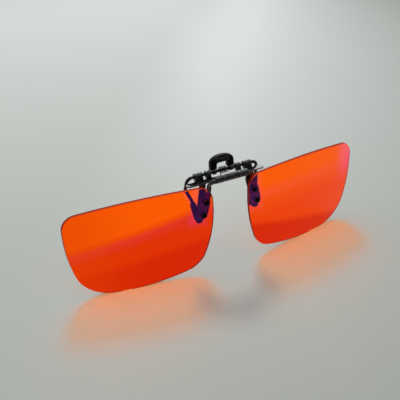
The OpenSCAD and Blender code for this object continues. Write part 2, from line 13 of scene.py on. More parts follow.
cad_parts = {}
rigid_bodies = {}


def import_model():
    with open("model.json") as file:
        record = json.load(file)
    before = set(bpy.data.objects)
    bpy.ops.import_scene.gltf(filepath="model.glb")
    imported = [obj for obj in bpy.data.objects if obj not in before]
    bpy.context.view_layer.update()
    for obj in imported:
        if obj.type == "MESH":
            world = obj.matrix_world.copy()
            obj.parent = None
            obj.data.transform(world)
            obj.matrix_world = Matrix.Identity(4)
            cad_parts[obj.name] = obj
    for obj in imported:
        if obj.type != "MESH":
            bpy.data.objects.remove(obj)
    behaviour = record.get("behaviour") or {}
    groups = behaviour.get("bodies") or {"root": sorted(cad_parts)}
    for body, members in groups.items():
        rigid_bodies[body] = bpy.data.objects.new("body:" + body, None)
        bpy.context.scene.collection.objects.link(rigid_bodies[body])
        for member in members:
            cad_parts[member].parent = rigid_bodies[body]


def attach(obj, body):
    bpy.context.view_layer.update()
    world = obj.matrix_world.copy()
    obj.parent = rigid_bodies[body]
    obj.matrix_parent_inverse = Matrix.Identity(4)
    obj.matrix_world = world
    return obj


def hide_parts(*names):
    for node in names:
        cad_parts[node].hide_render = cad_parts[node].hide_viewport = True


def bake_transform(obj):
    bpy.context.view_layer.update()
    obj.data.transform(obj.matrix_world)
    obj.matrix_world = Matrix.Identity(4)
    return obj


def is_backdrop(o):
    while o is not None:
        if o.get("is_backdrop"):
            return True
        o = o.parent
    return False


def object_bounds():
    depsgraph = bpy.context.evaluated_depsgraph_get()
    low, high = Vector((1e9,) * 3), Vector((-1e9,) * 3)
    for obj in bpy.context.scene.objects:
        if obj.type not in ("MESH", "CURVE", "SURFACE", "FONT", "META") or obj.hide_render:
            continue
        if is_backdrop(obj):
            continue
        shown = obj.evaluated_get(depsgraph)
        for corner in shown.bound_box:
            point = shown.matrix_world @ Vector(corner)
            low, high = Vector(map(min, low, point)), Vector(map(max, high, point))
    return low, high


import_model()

log = logging.getLogger("clip_on_glasses")
MM = 0.001
X_AXIS, Y_AXIS = Vector((1, 0, 0)), Vector((0, 1, 0))
# The points round the end of a sheet strip, in degrees.
ROUND_TIP = (20, 40, 58, 72, 82, 88)
# Points that are nearer than this, in metres, become one.
MERGE_WITHIN = 2e-7
# Edges sharper than this many degrees stay sharp.
TOOL_SHARP, SMALL_SHARP, SHEET_SHARP, GLASS_SHARP, ROUND_SHARP = 38, 40, 42, 50, 60

Colour = Place = tuple[float, float, float]
Pair = tuple[float, float]
Pairs = list[Pair]
Line = list[tuple[Vector, float]]
Material, Node, Piece, Socket = bpy.types.Material, bpy.types.Node, bpy.types.Object, bpy.types.NodeSocket


class Side(Enum):
    """The two halves of the glasses, as the sign of X."""

    LEFT = -1
    RIGHT = 1

    @property
    def word(self) -> str:
        """The side's name as the nodes spell it."""
        return self.name.lower()


class Slot(Enum):
    """The record's material slots."""

    LENS = "amber_lens"
    SHEET = "black_metal"
    WIRE = "wire_metal"
    STEEL = "bright_steel"
    SCREW = "black_screw"
    RUBBER = "black_rubber"
    PLASTIC = "black_plastic"
    NYLON = "dark_nylon"


# ---- node trees


class Wiring:
    """A node tree with short calls that add nodes and link them."""

    def __init__(self, tree: bpy.types.NodeTree) -> None:
        """Takes the tree that it fills."""
        self.tree = tree

    def put(self, socket: Socket, value: object) -> None:
        """Links an output to a socket, or sets the socket's own value. A colour comes without alpha."""
        if isinstance(value, Socket):
            self.tree.links.new(value, socket)
        else:
            socket.default_value = (*value, 1.0) if socket.type == "RGBA" else value

    def add(self, kind: str, *first: object, **sockets: object) -> Node:
        """Adds a node and sets its inputs.

        Args:
            kind: the node's type.
            first: values or sockets for its first inputs, in their order.
            sockets: values or sockets by input name, with spaces as underscores.

        Returns:
            The new node.
        """
        node = self.tree.nodes.new(kind)
        for socket, value in zip(node.inputs, first):
            self.put(socket, value)
        for key, value in sockets.items():
            self.put(node.inputs[key.replace("_", " ")], value)
        return node


class Shader(Wiring):
    """The nodes of one finish, or of the room."""

    def __init__(self, owner: bpy.types.ID) -> None:
        """Clears the nodes of a new material or world.

        Args:
            owner: the material or world.
        """
        owner.use_nodes = True
        super().__init__(owner.node_tree)
        self.tree.nodes.clear()
        self.owner = owner
        self.coords = self.add("ShaderNodeTexCoord").outputs["Object"]

    def math(self, operation: str, *values: object, kind: str = "ShaderNodeMath") -> Socket:
        """The number that a Math or Vector Math node makes.

        Args:
            operation: what it does.
            values: its inputs.
            kind: which of the two nodes.

        Returns:
            The number's socket.
        """
        node = self.add(kind, *values)
        node.operation = operation
        return node.outputs["Value"]

    def most(self, *values: Socket) -> Socket:
        """The largest of some numbers."""
        return reduce(lambda a, b: self.math("MAXIMUM", a, b), values)

    def span(self, value: Socket, low: object, high: object, to_low: float = 0.0,
             to_high: float = 1.0) -> Socket:
        """A clamped linear map of a value: low gives to_low and high gives to_high."""
        return self.add("ShaderNodeMapRange", value, low, high, to_low, to_high).outputs[0]

    def eased(self, *mapping: object) -> Socket:
        """A map like span, with soft ends."""
        mapped = self.span(*mapping)
        mapped.node.interpolation_type = "SMOOTHSTEP"
        return mapped

    def noise(self, scale: float, detail: float = 3.0, place: Socket | None = None) -> Socket:
        """The factor of a noise in Object coordinates, or in those given, scale in waves a metre."""
        node = self.add("ShaderNodeTexNoise", Vector=place or self.coords, Scale=scale, Detail=detail)
        return node.outputs["Fac"]

    def blend(self, factor: object, first: object, second: object) -> Socket:
        """A colour between two by a factor.

        Args:
            factor: 0 for the first colour, 1 for the second.
            first: a colour or a socket.
            second: a colour or a socket.

        Returns:
            The colour's socket.
        """
        node = self.tree.nodes.new("ShaderNodeMix")
        node.data_type = "RGBA"
        for k, value in ((0, factor), (6, first), (7, second)):
            self.put(node.inputs[k], value)
        return node.outputs[2]

    def bump(self, height: Socket, depth: float, strength: float) -> Socket:
        """A normal from a height, depth in metres."""
        return self.add("ShaderNodeBump", Height=height, Distance=depth, Strength=strength).outputs[0]

    def either(self, factor: Socket, first: Node, second: Node) -> Socket:
        """One of two shaders, the second where the factor is 1."""
        return self.add("ShaderNodeMixShader", factor, first.outputs[0], second.outputs[0]).outputs[0]

    def close(self, shader: Socket, kind: str = "Material") -> bpy.types.ID:
        """Ends in a shader and returns the material or world."""
        self.add(f"ShaderNodeOutput{kind}", Surface=shader)
        return self.owner

    def shine_through(self, body: Node, cast: Colour) -> Material:
        """Ends in a shader whose shadow is the light that it lets through, tinted."""
        through = self.add("ShaderNodeBsdfTransparent", Color=cast)
        return self.close(self.either(self.add("ShaderNodeLightPath").outputs["Is Shadow Ray"], body, through))


@dataclass(frozen=True)
class MetalFinish:
    """A plated or bare metal with fine scuffs."""

    name: str
    colour: Colour
    worn: Colour
    roughness: float
    coat: float = 0.0
    scuff: float = 0.12
    cloud_scale: float = 420.0
    grain_scale: float = 9000.0
    scratch_scale: float = 2600.0
    scratch_stretch: Place = (0.12, 1.0, 1.0)
    depth: float = 0.000004

    def make(self) -> Material:
        """Builds the metal.

        Returns:
            The material.
        """
        s = Shader(bpy.data.materials.new(self.name))
        cloud, grain = s.noise(self.cloud_scale), s.noise(self.grain_scale, 2.0)
        along = s.add("ShaderNodeMapping", Vector=s.coords, Scale=self.scratch_stretch).outputs[0]
        height = s.math("MULTIPLY_ADD", grain, 0.5, s.noise(self.scratch_scale, 4.0, along))
        rough = s.span(s.math("MULTIPLY_ADD", grain, 0.4, cloud), 0.5, 0.95, self.roughness,
                       self.roughness + self.scuff)
        body = s.add("ShaderNodeBsdfPrincipled", Metallic=1.0, Roughness=rough, Coat_Weight=self.coat,
                     Coat_Roughness=0.06, Normal=s.bump(height, self.depth, 0.35),
                     Base_Color=s.blend(s.span(cloud, 0.35, 0.7), self.colour, self.worn))
        return s.close(body.outputs[0])


@dataclass(frozen=True)
class SoftFinish:
    """Rubber, moulded plastic or nylon: a dark body with a fine grain."""

    name: str
    colour: Colour
    dusty: Colour
    roughness: float
    grain: float
    depth: float
    shine: float
    sheen: float = 0.0
    cloud_scale: float = 300.0

    def make(self) -> Material:
        """Builds the finish.

        Returns:
            The material.
        """
        s = Shader(bpy.data.materials.new(self.name))
        cloud, fine = s.noise(self.cloud_scale), s.noise(self.grain * 1.7, 2.0)
        pores = s.add("ShaderNodeTexVoronoi", Vector=s.coords, Scale=self.grain).outputs["Distance"]
        body = s.add("ShaderNodeBsdfPrincipled",
                     Base_Color=s.blend(s.span(cloud, 0.4, 0.75), self.colour, self.dusty),
                     Roughness=s.span(fine, 0.3, 0.7, self.roughness - 0.06, self.roughness + 0.08),
                     Sheen_Weight=self.sheen, Sheen_Roughness=0.4, Specular_IOR_Level=self.shine,
                     Normal=s.bump(s.math("MULTIPLY_ADD", fine, 0.6, pores), self.depth, 0.6))
        return s.close(body.outputs[0])


@dataclass(frozen=True)
class LensFinish:
    """Amber lens plastic with a bluish surface coating. Lamps shine through it tinted. Its orange carries painted
    shade: lightest towards the top, deeper through the middle, deepest low down, and darker over the left lens's
    middle and at its temple end.

    Places are in metres of the frame, and a pair is where something starts and where it is full. Between -nose and
    nose in X the left lens's values turn into the right one's, and further out the bands slant. The coating's
    reflection is painted by place: indigo in strips over the dark parts that sit behind the lens near the nose,
    and pink in the right lens's upper temple corner and along a faint band across both lenses. A strip of the
    painted indigo reflection is (foot, lean, half, soft), as its method says.
    """

    name: str = "amber_lens_plastic"
    # upper, middle, lower and outer are painted shade on the lens's orange: lightest high up, darker in the
    # middle, darkest low down and at the left lens's temple end.
    upper: Colour = (1.0, 0.108, 0.0006)
    middle: Colour = (0.90, 0.055, 0.0005)
    lower: Colour = (0.72, 0.019, 0.0004)
    outer: Colour = (0.78, 0.055, 0.0006)
    cast: Colour = (1.22, 0.72, 0.03)
    plain: Colour = (0.06, 0.022, 0.009)
    # plain is the coating's own even tint. indigo and pink tint a painted reflection: indigo over the dark parts
    # behind the lens, pink in a corner and along a band.
    painted_indigo_reflection: Colour = (0.22, 0.14, 2.05)
    painted_pink_reflection: Colour = (0.3, 0.5, 6.5)
    index: float = 1.6
    nose: float = 0.008
    slant_from: float = 0.010
    stripe_slant: float = 0.19
    low_slants: Pair = (0.135, 0.24)
    middle_z: Pair = (-0.0110, -0.0065)
    left_middle: float = 0.40
    upper_from: Pair = (0.0048, -0.0060)
    upper_full: float = 0.0090
    temple: Pair = (-0.070, -0.036)
    temple_share: float = 0.55
    stripe_rise: Pair = (0.0005, 0.0040)
    stripe_fall: Pair = (0.0050, 0.0080)
    stripe_share: float = 0.09
    corner_x: Pair = (0.058, 0.066)
    corner_z: Pair = (-0.008, 0.007)
    strips: tuple[tuple[float, float, float, float], ...] = (
        (0.0112, -0.10, 0.0034, 0.0030), (-0.0156, 0.208, 0.0036, 0.0030), (-0.01456, -0.467, 0.0010, 0.0012))
    strip_foot: float = 0.0025
    strip_z: Pair = (-0.0040, 0.0016)
    cloud_scale: float = 260.0
    cloud_depth: Pair = (0.85, 1.15)

    def make(self) -> Material:
        """Builds the lens plastic.

        Returns:
            The material.
        """
        s = Shader(bpy.data.materials.new(self.name))
        x, _, z = s.add("ShaderNodeSeparateXYZ", Vector=s.coords).outputs
        past = (s.math("MULTIPLY_ADD", x, side.value, -self.slant_from) for side in Side)
        left, right = (s.math("MAXIMUM", reach, 0.0) for reach in past)
        nose = (-self.nose, self.nose)
        band = s.math("MULTIPLY_ADD", left, self.stripe_slant, z)
        low = s.math("MULTIPLY_ADD", left, self.low_slants[0], z)
        low = s.math("MULTIPLY_ADD", right, self.low_slants[1], low)
        # Painted shade: the orange darkens towards the bottom, and on the left lens it stays darker through the
        # middle.
        painted_light_share = s.math("MULTIPLY", s.eased(low, *self.middle_z), s.eased(x, *nose, self.left_middle, 1.0))
        body = s.blend(painted_light_share, self.lower, self.middle)
        body = s.blend(s.span(band, s.eased(x, *nose, *self.upper_from), self.upper_full), body, self.upper)
        body = s.blend(s.eased(x, *self.temple, self.temple_share, 0.0), body, self.outer)
        # Painted reflection: indigo over the dark parts behind the lens, pink in the right lens's upper temple
        # corner and in a faint band.
        indigo_reflection_mask = s.most(*(self.strip(s, x, z, *strip) for strip in self.strips))
        cloud = s.span(s.noise(self.cloud_scale, 2.0), 0.35, 0.65, *self.cloud_depth)
        corner = s.math("MULTIPLY", s.eased(x, *self.corner_x), s.eased(z, *self.corner_z))
        pink_reflection_band = s.math("MULTIPLY", s.eased(band, *self.stripe_rise, 0.0, self.stripe_share),
                        s.eased(band, *self.stripe_fall, 1.0, 0.0))
        sheen = s.blend(s.math("MULTIPLY", indigo_reflection_mask, cloud), self.plain, self.painted_indigo_reflection)
        sheen = s.blend(s.most(corner, pink_reflection_band), sheen, self.painted_pink_reflection)
        lens = s.add("ShaderNodeBsdfPrincipled", Base_Color=body, IOR=self.index, Roughness=0.0,
                     Transmission_Weight=1.0, Specular_IOR_Level=1.0, Specular_Tint=sheen)
        return s.shine_through(lens, self.cast)

    def strip(self, s: Shader, x: Socket, z: Socket, foot: float, lean: float, half: float, soft: float) -> Socket:
        """A soft mask along a leaning strip of the painted indigo reflection, near the screws.

        Args:
            s: the shader.
            x: the place's X.
            z: the place's Z.
            foot: the strip's X at its lower end, in metres.
            lean: how far it shifts in X for each metre up.
            half: its half width in metres.
            soft: the width over which each side fades out.

        Returns:
            The mask's socket.
        """
        middle = s.math("MULTIPLY_ADD", s.math("SUBTRACT", z, self.strip_foot), lean, foot)
        off = s.math("ABSOLUTE", s.math("SUBTRACT", x, middle))
        return s.math("MULTIPLY", s.eased(off, half - 0.4 * soft, half + 0.6 * soft, 1.0, 0.0),
                      s.eased(z, *self.strip_z))


@dataclass(frozen=True)
class LensEdgeFinish:
    """The ground edge of a lens and of its drilled holes, coloured with painted light: a painted orange glow in
    front, where the lens carries light to its edge, and a painted dark line behind, where refraction darkens it.

    The line starts at a depth behind the lens's front, which lies on a ball. All is in metres.
    """

    name: str = "lens_edge_painted_glow"
    # dark and glowing are painted: a dark refraction line and an orange glow of light carried through the lens.
    dark: Colour = (0.24, 0.012, 0.004)
    painted_glow: Colour = (0.88, 0.060, 0.008)
    cast: Colour = (1.22, 0.72, 0.03)
    ball: Place = (0.0, 0.2388, -0.0035)
    ball_r: float = 0.244
    line_depth: Pair = (0.0002, 0.0005)
    grain_scale: float = 9000.0
    grain_depth: float = 0.000004

    def make(self) -> Material:
        """Builds the edge finish.

        Returns:
            The material.
        """
        s = Shader(bpy.data.materials.new(self.name))
        reach = s.math("DISTANCE", s.coords, self.ball, kind="ShaderNodeVectorMath")
        line = s.span(s.math("SUBTRACT", self.ball_r, reach), *self.line_depth)
        grain = s.noise(self.grain_scale, 2.0)
        # Painted dark line behind, painted glow in front.
        edge = s.add("ShaderNodeBsdfPrincipled", Base_Color=s.blend(line, self.painted_glow, self.dark),
                     Roughness=s.span(grain, 0.3, 0.7, 0.45, 0.6), Specular_IOR_Level=0.04,
                     Normal=s.bump(grain, self.grain_depth, 0.4))
        return s.shine_through(edge, self.cast)


class Finishes:
    """Every finish of the object, built once."""

    def __init__(self) -> None:
        """Builds the finish of each slot, the lens's edge and the grip's polished ribs."""
        self.lens_edge = LensEdgeFinish().make()
        self.polished = SoftFinish("thumb_polished_ribs", (0.006, 0.006, 0.007), (0.012, 0.012, 0.013),
                                   0.22, 5200.0, 0.000006, 0.5).make()
        self.of_slot = {slot: finish.make() for slot, finish in {
            Slot.LENS: LensFinish(),
            Slot.SHEET: MetalFinish("black_nickel_sheet", (0.036, 0.036, 0.038), (0.068, 0.068, 0.071),
                                    0.13, 0.25),
            Slot.WIRE: MetalFinish("black_nickel_wire", (0.016, 0.016, 0.018), (0.034, 0.034, 0.037), 0.13, 0.2),
            Slot.STEEL: MetalFinish("bright_steel", (0.20, 0.205, 0.215), (0.14, 0.14, 0.15), 0.22),
            Slot.SCREW: MetalFinish("black_oxide_screw", (0.006, 0.006, 0.008), (0.013, 0.013, 0.016), 0.30),
            Slot.RUBBER: SoftFinish("black_rubber_sleeve", (0.007, 0.007, 0.008), (0.012, 0.012, 0.014),
                                    0.52, 7000.0, 0.000008, 0.2, sheen=0.02),
            Slot.PLASTIC: SoftFinish("moulded_black_plastic", (0.0025, 0.0025, 0.003), (0.005, 0.005, 0.006),
                                     0.40, 5200.0, 0.000010, 0.07),
            Slot.NYLON: SoftFinish("dark_nylon", (0.012, 0.011, 0.014), (0.018, 0.017, 0.020),
                                   0.42, 9000.0, 0.000004, 0.25),
        }.items()}


# ---- shapes, in millimetres of the shared frame


@dataclass
class Shell:
    """Points and faces of a piece, gathered before it becomes a mesh."""

    points: list[Vector] = field(default_factory=list)
    faces: list[tuple[int, ...]] = field(default_factory=list)

    def join(self, other: "Shell") -> "Shell":
        """Adds another shell's points and faces to this one.

        Args:
            other: the other shell.

        Returns:
            This shell.
        """
        start = len(self.points)
        self.points.extend(other.points)
        self.faces.extend(tuple(i + start for i in f) for f in other.faces)
        return self

    def placed(self, matrix: Matrix) -> "Shell":
        """A copy moved by a matrix, turned right side out if the matrix mirrors."""
        flip = matrix.to_3x3().determinant() < 0
        return Shell([matrix @ p for p in self.points], [f[::-1] if flip else f for f in self.faces])

    def mirrored(self, side: Side) -> "Shell":
        """The shell for a side; shells are built for the right one."""
        return self if side is Side.RIGHT else self.placed(Matrix.Scale(-1, 4, X_AXIS))


def loft(rings: Sequence[Sequence[Vector]], caps: bool = True, around: bool = False) -> Shell:
    """Skins rings of equal length.

    Args:
        rings: the rings in order.
        caps: whether the first and the last ring are closed.
        around: whether the last ring joins the first instead.

    Returns:
        The skinned shell.
    """
    n, count = len(rings[0]), len(rings)
    shell = Shell([p for ring in rings for p in ring])
    for i in range(count if around else count - 1):
        a, b = i * n, (i + 1) % count * n
        shell.faces += [(a + k, a + (k + 1) % n, b + (k + 1) % n, b + k) for k in range(n)]
    if caps and not around:
        shell.faces += [tuple(range(n))[::-1], tuple(range((count - 1) * n, count * n))]
    return shell


def lathe(profile: Sequence[Pair], origin: Vector, axis: Vector = X_AXIS, steps: int = 48,
          around: bool = False) -> Shell:
    """Turns a profile of (radius, distance along the axis) round an axis.

    Args:
        profile: the profile, from one end to the other, or a closed loop with around.
        origin: a point on the axis, where the distance is 0.
        axis: the axis.
        steps: points round the axis.
        around: whether the profile is a closed loop, as on a tube.

    Returns:
        The turned shell.
    """
    w = axis.normalized()
    u = w.orthogonal().normalized()
    v = w.cross(u)
    turns = [math.tau * k / steps for k in range(steps)]
    return loft([[origin + w * d + (u * math.cos(a) + v * math.sin(a)) * r for a in turns] for r, d in profile],
                around=around)


def arc(x: float, y: float, rx: float, ry: float, turns: Sequence[float]) -> Pairs:
    """Points on an ellipse round (x, y) at angles in degrees."""
    return [(x + rx * math.cos(a), y + ry * math.sin(a)) for a in map(math.radians, turns)]


def quarter(steps: int) -> list[float]:
    """The angles from 0 to 90 degrees in even steps."""
    return [90 * k / steps for k in range(steps + 1)]


def ring_profile(bore: float, outside: float, low: float, high: float, edge: float) -> Pairs:
    """The closed profile of a barrel with a bore and rounded rims.

    Args:
        bore: radius of the bore.
        outside: outside radius.
        low: where the barrel starts along the axis.
        high: where it ends.
        edge: radius of the outer rims.

    Returns:
        The profile as (radius, distance) pairs.
    """
    inner, turns = edge * 0.4, quarter(3)
    return [(bore + inner, high), *arc(outside - edge, high - edge, edge, edge, turns[::-1]),
            *arc(outside - edge, low + edge, edge, -edge, turns), (bore + inner, low), (bore, low + inner),
            (bore, high - inner)]


def barrel(bore: float, outside: float, low: float, high: float, edge: float, origin: Vector) -> Shell:
    """A barrel along X with a bore and rounded rims, sized as ring_profile says."""
    return lathe(ring_profile(bore, outside, low, high, edge), origin, around=True)


def rounded_section(half_w: float, half_t: float, radius: float, steps: int = 4) -> Pairs:
    """A rectangle with round corners, as (across, through) pairs.

    Args:
        half_w: half its width.
        half_t: half its thickness.
        radius: radius of its corners, cut to fit.
        steps: points less one in each corner.

    Returns:
        The outline, counter-clockwise.
    """
    r = min(radius, half_w * 0.98, half_t * 0.98)
    corners = enumerate(((1, 1), (-1, 1), (-1, -1), (1, -1)))
    return [p for k, (sx, sy) in corners
            for p in arc(sx * (half_w - r), sy * (half_t - r), r, r, [90 * k + a for a in quarter(steps)])]


def rounded_edge(low: float, high: float, r: float, steps: int) -> Pairs:
    """How far a plate's rounded edge is drawn in at each depth, as (inset, depth) pairs."""
    return arc(r, low + r, -r, -r, quarter(steps)[::-1]) + arc(r, high - r, -r, r, quarter(steps))


def slab(outline: Sequence[Pair], place: Callable[[float, float, float], Vector], low: float,
         high: float, edge: float, steps: int = 3) -> Shell:
    """A plate of any simple outline with rounded edges.

    Args:
        outline: its corners, counter-clockwise.
        place: turns (across, up, through) into a point of the frame.
        low: where the plate starts through its thickness.
        high: where it ends.
        edge: radius of its edges.
        steps: steps in each rounded edge.

    Returns:
        The plate.
    """
    corners = [Vector(p) for p in outline]
    inward = []
    for i, p in enumerate(corners):
        a = (p - corners[i - 1]).normalized()
        b = (corners[(i + 1) % len(corners)] - p).normalized()
        side, m = Vector((-a.y, a.x)), Vector((-(a.y + b.y), a.x + b.x))
        m = m.normalized() if m.length > 1e-6 else side
        inward.append(m / max(0.35, m.dot(side)))
    return loft([[place(*(p + m * inset), depth) for p, m in zip(corners, inward)]
                 for inset, depth in rounded_edge(low, high, edge, steps)])


def square_to(along: Vector, guide: Vector) -> Vector:
    """The direction square to a line that is nearest to a guide."""
    return (guide - along * along.dot(guide)).normalized()


def sheet_strip(line: Line, half_t: float, rim: float, sides: Callable[[Vector], tuple[Vector, Vector]]) -> Shell:
    """A bent strip of sheet.

    Args:
        line: its middle line, each point with the half width there.
        half_t: half the sheet's thickness.
        rim: radius of its edges.
        sides: gives the directions across and through the strip for the direction along it.

    Returns:
        The strip.
    """
    rings = []
    for i, (here, half) in enumerate(line):
        before, after = line[max(i - 1, 0)][0], line[min(i + 1, len(line) - 1)][0]
        across, through = sides((after - before).normalized())
        rings.append([here + across * a + through * b for a, b in rounded_section(half, half_t, rim)])
    return loft(rings)


def smooth_run(values: Sequence[Vector], steps: int) -> list[Vector]:
    """Catmull-Rom points through vectors of any length.

    Args:
        values: the vectors.
        steps: points from each one to the next.

    Returns:
        The points.
    """
    out = []
    for i in range(len(values) - 1):
        a, b, c, d = (values[min(max(i + k, 0), len(values) - 1)] for k in (-1, 0, 1, 2))
        for t in (k / steps for k in range(steps)):
            out.append(0.5 * (2 * b + (c - a) * t + (2 * a - 5 * b + 4 * c - d) * t ** 2
                              + (3 * b - a - 3 * c + d) * t ** 3))
    return [*out, values[-1]]


def bent_path(corners: Sequence[Vector], radii: Sequence[float], step_deg: float = 8.0) -> list[Vector]:
    """A path through corners with a round bend at each inner one.

    Args:
        corners: the corners in order.
        radii: the bend's radius at each inner corner.
        step_deg: the angle between points in a bend.

    Returns:
        The path's points.
    """
    out = [corners[0]]
    for i, r in enumerate(radii, start=1):
        u = (corners[i] - corners[i - 1]).normalized()
        v = (corners[i + 1] - corners[i]).normalized()
        turn = u.angle(v)
        side = u.cross(u.cross(v).normalized())
        centre = corners[i] - u * r * math.tan(turn / 2) - side * r
        steps = max(2, math.ceil(math.degrees(turn) / step_deg))
        out += [centre + (side * math.cos(a) + u * math.sin(a)) * r
                for a in (turn * k / steps for k in range(steps + 1))]
    return [*out, corners[-1]]


# ---- pieces


def stand(name: str, data: bpy.types.ID) -> Piece:
    """Makes an object of some data at the origin and links it into the scene.

    Args:
        name: the object's name.
        data: its mesh, curve, lamp or camera.

    Returns:
        The object.
    """
    piece = bpy.data.objects.new(name, data)
    bpy.context.scene.collection.objects.link(piece)
    return piece


def smooth(data: bpy.types.Mesh, sharp_deg: float, fresh: bool = False) -> None:
    """Smooths every face of a mesh and marks the edges that are sharper than an angle.

    Args:
        data: the mesh.
        sharp_deg: the angle in degrees.
        fresh: whether its doubles are merged and its normals turned out first.
    """
    bm = bmesh.new()
    bm.from_mesh(data)
    if fresh:
        bmesh.ops.remove_doubles(bm, verts=bm.verts, dist=MERGE_WITHIN)
        bmesh.ops.recalc_face_normals(bm, faces=bm.faces)
    for f in bm.faces:
        f.smooth = True
    for e in bm.edges:
        e.smooth = len(e.link_faces) != 2 or e.calc_face_angle(0.0) < math.radians(sharp_deg)
    bm.to_mesh(data)
    bm.free()


def solid(name: str, shell: Shell, sharp_deg: float = TOOL_SHARP) -> Piece:
    """Makes a mesh object from a shell.

    Args:
        name: the object's name.
        shell: its points and faces, in millimetres.
        sharp_deg: edges sharper than this stay sharp.

    Returns:
        The object, at the origin, in metres.
    """
    data = bpy.data.meshes.new(name)
    data.from_pydata([p * MM for p in shell.points], [], shell.faces)
    smooth(data, sharp_deg, fresh=True)
    return stand(name, data)


def flatten(piece: Piece) -> Piece:
    """Replaces a mesh or curve that has modifiers by the plain mesh that they make.

    Args:
        piece: the object.

    Returns:
        A mesh object with the same name.
    """
    bpy.context.view_layer.update()
    graph = bpy.context.evaluated_depsgraph_get()
    made = piece.evaluated_get(graph)
    data = bpy.data.meshes.new_from_object(made, preserve_all_data_layers=True, depsgraph=graph)
    data.name = name = piece.name
    bpy.data.objects.remove(piece, do_unlink=True)
    return stand(name, data)


def evened(piece: Piece) -> Piece:
    """The piece with normals weighted by face area, so that wide faces stay flat beside narrow rounds."""
    piece.modifiers.new("even_normals", "WEIGHTED_NORMAL").keep_sharp = True
    return flatten(piece)


def cut(piece: Piece, tool: Piece) -> Piece:
    """Cuts a tool's solid out of a piece and removes the tool.

    Args:
        piece: the piece.
        tool: a closed mesh.

    Returns:
        The cut piece, as a plain mesh.
    """
    cutter = piece.modifiers.new("cut", "BOOLEAN")
    cutter.operation, cutter.solver, cutter.object = "DIFFERENCE", "EXACT", tool
    done = flatten(piece)
    bpy.data.objects.remove(tool, do_unlink=True)
    return done


class GeometryTree(Wiring):
    """A Geometry Nodes tree with named inputs, made in the script."""

    def __init__(self, name: str, **sizes: tuple[str, object]) -> None:
        """Starts a tree.

        Args:
            name: the tree's name.
            sizes: the socket type and default of each size, by its name.
        """
        super().__init__(bpy.data.node_groups.new(name, "GeometryNodeTree"))
        face = self.tree.interface
        for way in ("OUTPUT", "INPUT"):
            face.new_socket("Geometry", in_out=way, socket_type="NodeSocketGeometry")
        self.ids: dict[str, str] = {}
        for label, (kind, value) in {**sizes, "Finish": ("Material", None)}.items():
            item = face.new_socket(label, in_out="INPUT", socket_type=f"NodeSocket{kind}")
            item.default_value = value
            self.ids[label] = item.identifier
        self.given = self.add("NodeGroupInput").outputs
        self.end = self.add("NodeGroupOutput")

    def close(self, geometry: Socket) -> None:
        """Ends the tree in Realize Instances and Set Material."""
        real = self.add("GeometryNodeRealizeInstances", geometry).outputs[0]
        dressed = self.add("GeometryNodeSetMaterial", Geometry=real, Material=self.given["Finish"])
        self.put(self.end.inputs[0], dressed.outputs[0])

    def run(self, piece: Piece, **values: object) -> Piece:
        """Runs the tree on an object, with its inputs set by identifier.

        Args:
            piece: the object.
            values: input values by name.

        Returns:
            The result as a plain mesh.
        """
        step = piece.modifiers.new(self.tree.name, "NODES")
        step.node_group = self.tree
        for label, value in values.items():
            step[self.ids[label]] = value
        return flatten(piece)


class SweptWire(GeometryTree):
    """A round wire swept along the curve that it is given."""

    def __init__(self) -> None:
        """Builds the tree."""
        super().__init__("swept_wire", Radius=("Float", 0.0005), Sides=("Int", 20))
        ring = self.add("GeometryNodeCurvePrimitiveCircle", Resolution=self.given["Sides"],
                        Radius=self.given["Radius"])
        swept = self.add("GeometryNodeCurveToMesh", Curve=self.given["Geometry"], Profile_Curve=ring.outputs[0],
                         Fill_Caps=True)
        self.close(self.add("GeometryNodeSetShadeSmooth", swept.outputs[0]).outputs[0])

    def sweep(self, name: str, path: Sequence[Vector], radius: float, material: Material, sides: int) -> Piece:
        """Sweeps a wire along a path.

        Args:
            name: the piece's name.
            path: its points, in millimetres.
            radius: the wire's radius, in millimetres.
            material: its material.
            sides: points round the wire.

        Returns:
            The wire as a plain mesh.
        """
        data = bpy.data.curves.new(name, "CURVE")
        data.dimensions = "3D"
        spline = data.splines.new("POLY")
        spline.points.add(len(path) - 1)
        for point, place in zip(spline.points, path):
            point.co = (*(place * MM), 1.0)
        return self.run(stand(name, data), Radius=radius * MM, Sides=sides, Finish=material)


class SetInRow(GeometryTree):
    """Copies of one part set at even steps along a line: ribs, screws, washers and bushes."""

    def __init__(self) -> None:
        """Builds the tree."""
        super().__init__("set_in_row", Count=("Int", 2), Step=("Vector", (0, 0, 0)))
        line = self.add("GeometryNodeMeshLine", Count=self.given["Count"], Offset=self.given["Step"])
        copies = self.add("GeometryNodeInstanceOnPoints", Points=line.outputs[0], Instance=self.given["Geometry"])
        self.close(copies.outputs[0])

    def repeat(self, piece: Piece, count: int, step: Vector, material: Material) -> Piece:
        """Sets copies of a piece in a row that starts with it, step in millimetres."""
        return self.run(piece, Count=count, Step=tuple(step * MM), Finish=material)


class Bench:
    """Hangs finished pieces on the frame, and holds the finishes and the two Geometry Nodes trees."""

    def __init__(self) -> None:
        """Gets everything ready."""
        self.finishes = Finishes()
        self.row, self.wire = SetInRow(), SweptWire()
        self.made = 0

    def dress(self, slot: Slot) -> Material:
        """The finish of a slot."""
        return self.finishes.of_slot[slot]

    def hang(self, piece: Piece, body: str, node: str, slot: Slot, finish: Material | None = None,
             across: tuple[str, Vector, Vector] | None = None) -> Piece:
        """Gives a piece its finish, rides it on a body unless it spans two, and lets it stand for a CAD node.

        Args:
            piece: the finished piece.
            body: the body that it rides on.
            node: the CAD node that it stands for.
            slot: the record's slot.
            finish: its finish, if it isn't the slot's own.
            across: for a piece that spans two bodies, the other body and the two ends of the twist in millimetres,
                from that body's end to this one's. Only whether it is given is used: such a piece is baked in
                place and rides on no body.

        Returns:
            The piece.
        """
        piece.data.materials.clear()
        piece.data.materials.append(finish or self.dress(slot))
        if across is None:
            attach(piece, body)
        else:
            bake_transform(piece)
        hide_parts(node)
        self.made += 1
        log.info("%s: %d faces, rides on %s, for %s", piece.name, len(piece.data.polygons), body, node)
        return piece


# ---- the lenses and what fastens them


